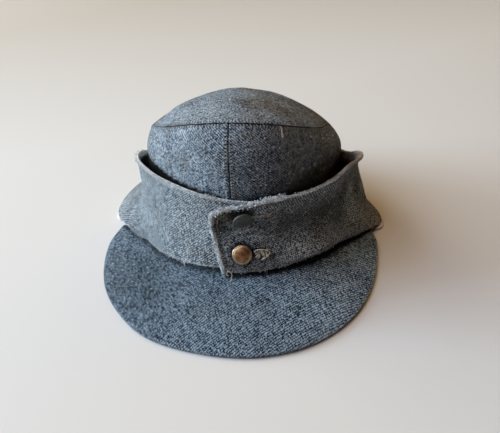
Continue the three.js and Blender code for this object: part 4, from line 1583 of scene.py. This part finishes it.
def on_cloth(piece, point, lift):
    """The spot of a finished piece nearest to a point, lifted off the cloth."""
    place, normal = piece.closest_point_on_mesh(in_metres(point))[1:3]
    return place / MM - cap_middle + normal * lift


bpy.context.view_layer.update()
clinging = [[on_cloth(crown_left, place, lift) for *place, lift in steps] for steps in CLINGING]
threads("crown_thread", clinging, 0.55, linen_thread, "crown_side_left")

# %% [markdown]
# ## Lint
#
# Pale flecks of lint cling to milled wool. They are tiny threads that lie on the cloth at random places,
# clear of the buttons and of the part of the crown that the band hides.

# %% Lint on the cloth
LINT_THICK = 0.42
ABOVE_BAND = 4
# Each row: the piece's name after lint_, the piece, its face, the spans along and up, how many, and the slot.
LINT = (
    ("crown_left", crown_left, crown_face, (0, 90), (0.35, 0.97), 220, "crown_side_left"),
    ("crown_right", crown_right, crown_face, (-90, -7), (0.35, 0.97), 80, "crown_side_right"),
    ("top", top_panel, top_face, (-180, 180), (0.1, 0.95), 80, "crown_top"),
    ("under", band_under, under_face, (-110, -14), (0.05, 0.95), 30, "turn_up_under"),
    ("over", band_over, over_face, (0.02, 0.5), (0.05, 0.95), 90, "turn_up_over"),
    ("peak", peak_cover, peak_face, (-0.95, 0.95), (0.03, 0.9), 170, "peak"),
)
for name, piece, face, across, upwards, count, slot in LINT:
    paths = []
    for _ in range(count):
        u, v = chance.uniform(*across), chance.uniform(*upwards)
        spot = face(u, v)
        behind_band = face is crown_face and spot.z < HIDDEN.read("below", u) + ABOVE_BAND
        if under_button(spot) > 0 or behind_band:
            continue
        way = any_way(chance).normalized() * chance.uniform(0.5, 1.6)
        paths.append([on_cloth(piece, spot + way * share, 0.12) for share in (-0.5, 0.1, 0.5)])
    threads("lint_" + name, paths, LINT_THICK, lint_fibre, slot)

# %% [markdown]
# ## What each piece of cloth was cut to
#
# Each cloth piece is listed with the rectangle that its flat pattern fits in and the area of the pattern
# itself. The areas were measured on the finished pieces, as half of both faces, because a sewn cap keeps its
# cloth almost unstretched.

CLOTH = (
    (crown_left, "crown_side_left", (0.120, 0.268), 0.0228, "stretched", [top_panel, crown_right]),
    (crown_right, "crown_side_right", (0.120, 0.260), 0.0215, "stretched", [top_panel, crown_left]),
    (top_panel, "crown_top", (0.142, 0.164), 0.0167, "stretched", [crown_left, crown_right]),
    (band_under, "turn_up_under", (0.075, 0.330), 0.0167, "folded", [crown_right]),
    (band_over, "turn_up_over", (0.075, 0.330), 0.0175, "folded", [crown_left, band_under]),
    (peak_cover, "peak", (0.150, 0.208), 0.0182, "stretched", [crown_left, crown_right]),
    (lining_strip, "lining_edge", (0.038, 0.350), 0.0069, "laid", [crown_left, crown_right]),
)
for piece, slot, size, area, held, rests_on in CLOTH:
    print(piece.name, "was cut to", size, "metres,", area, "square metres")
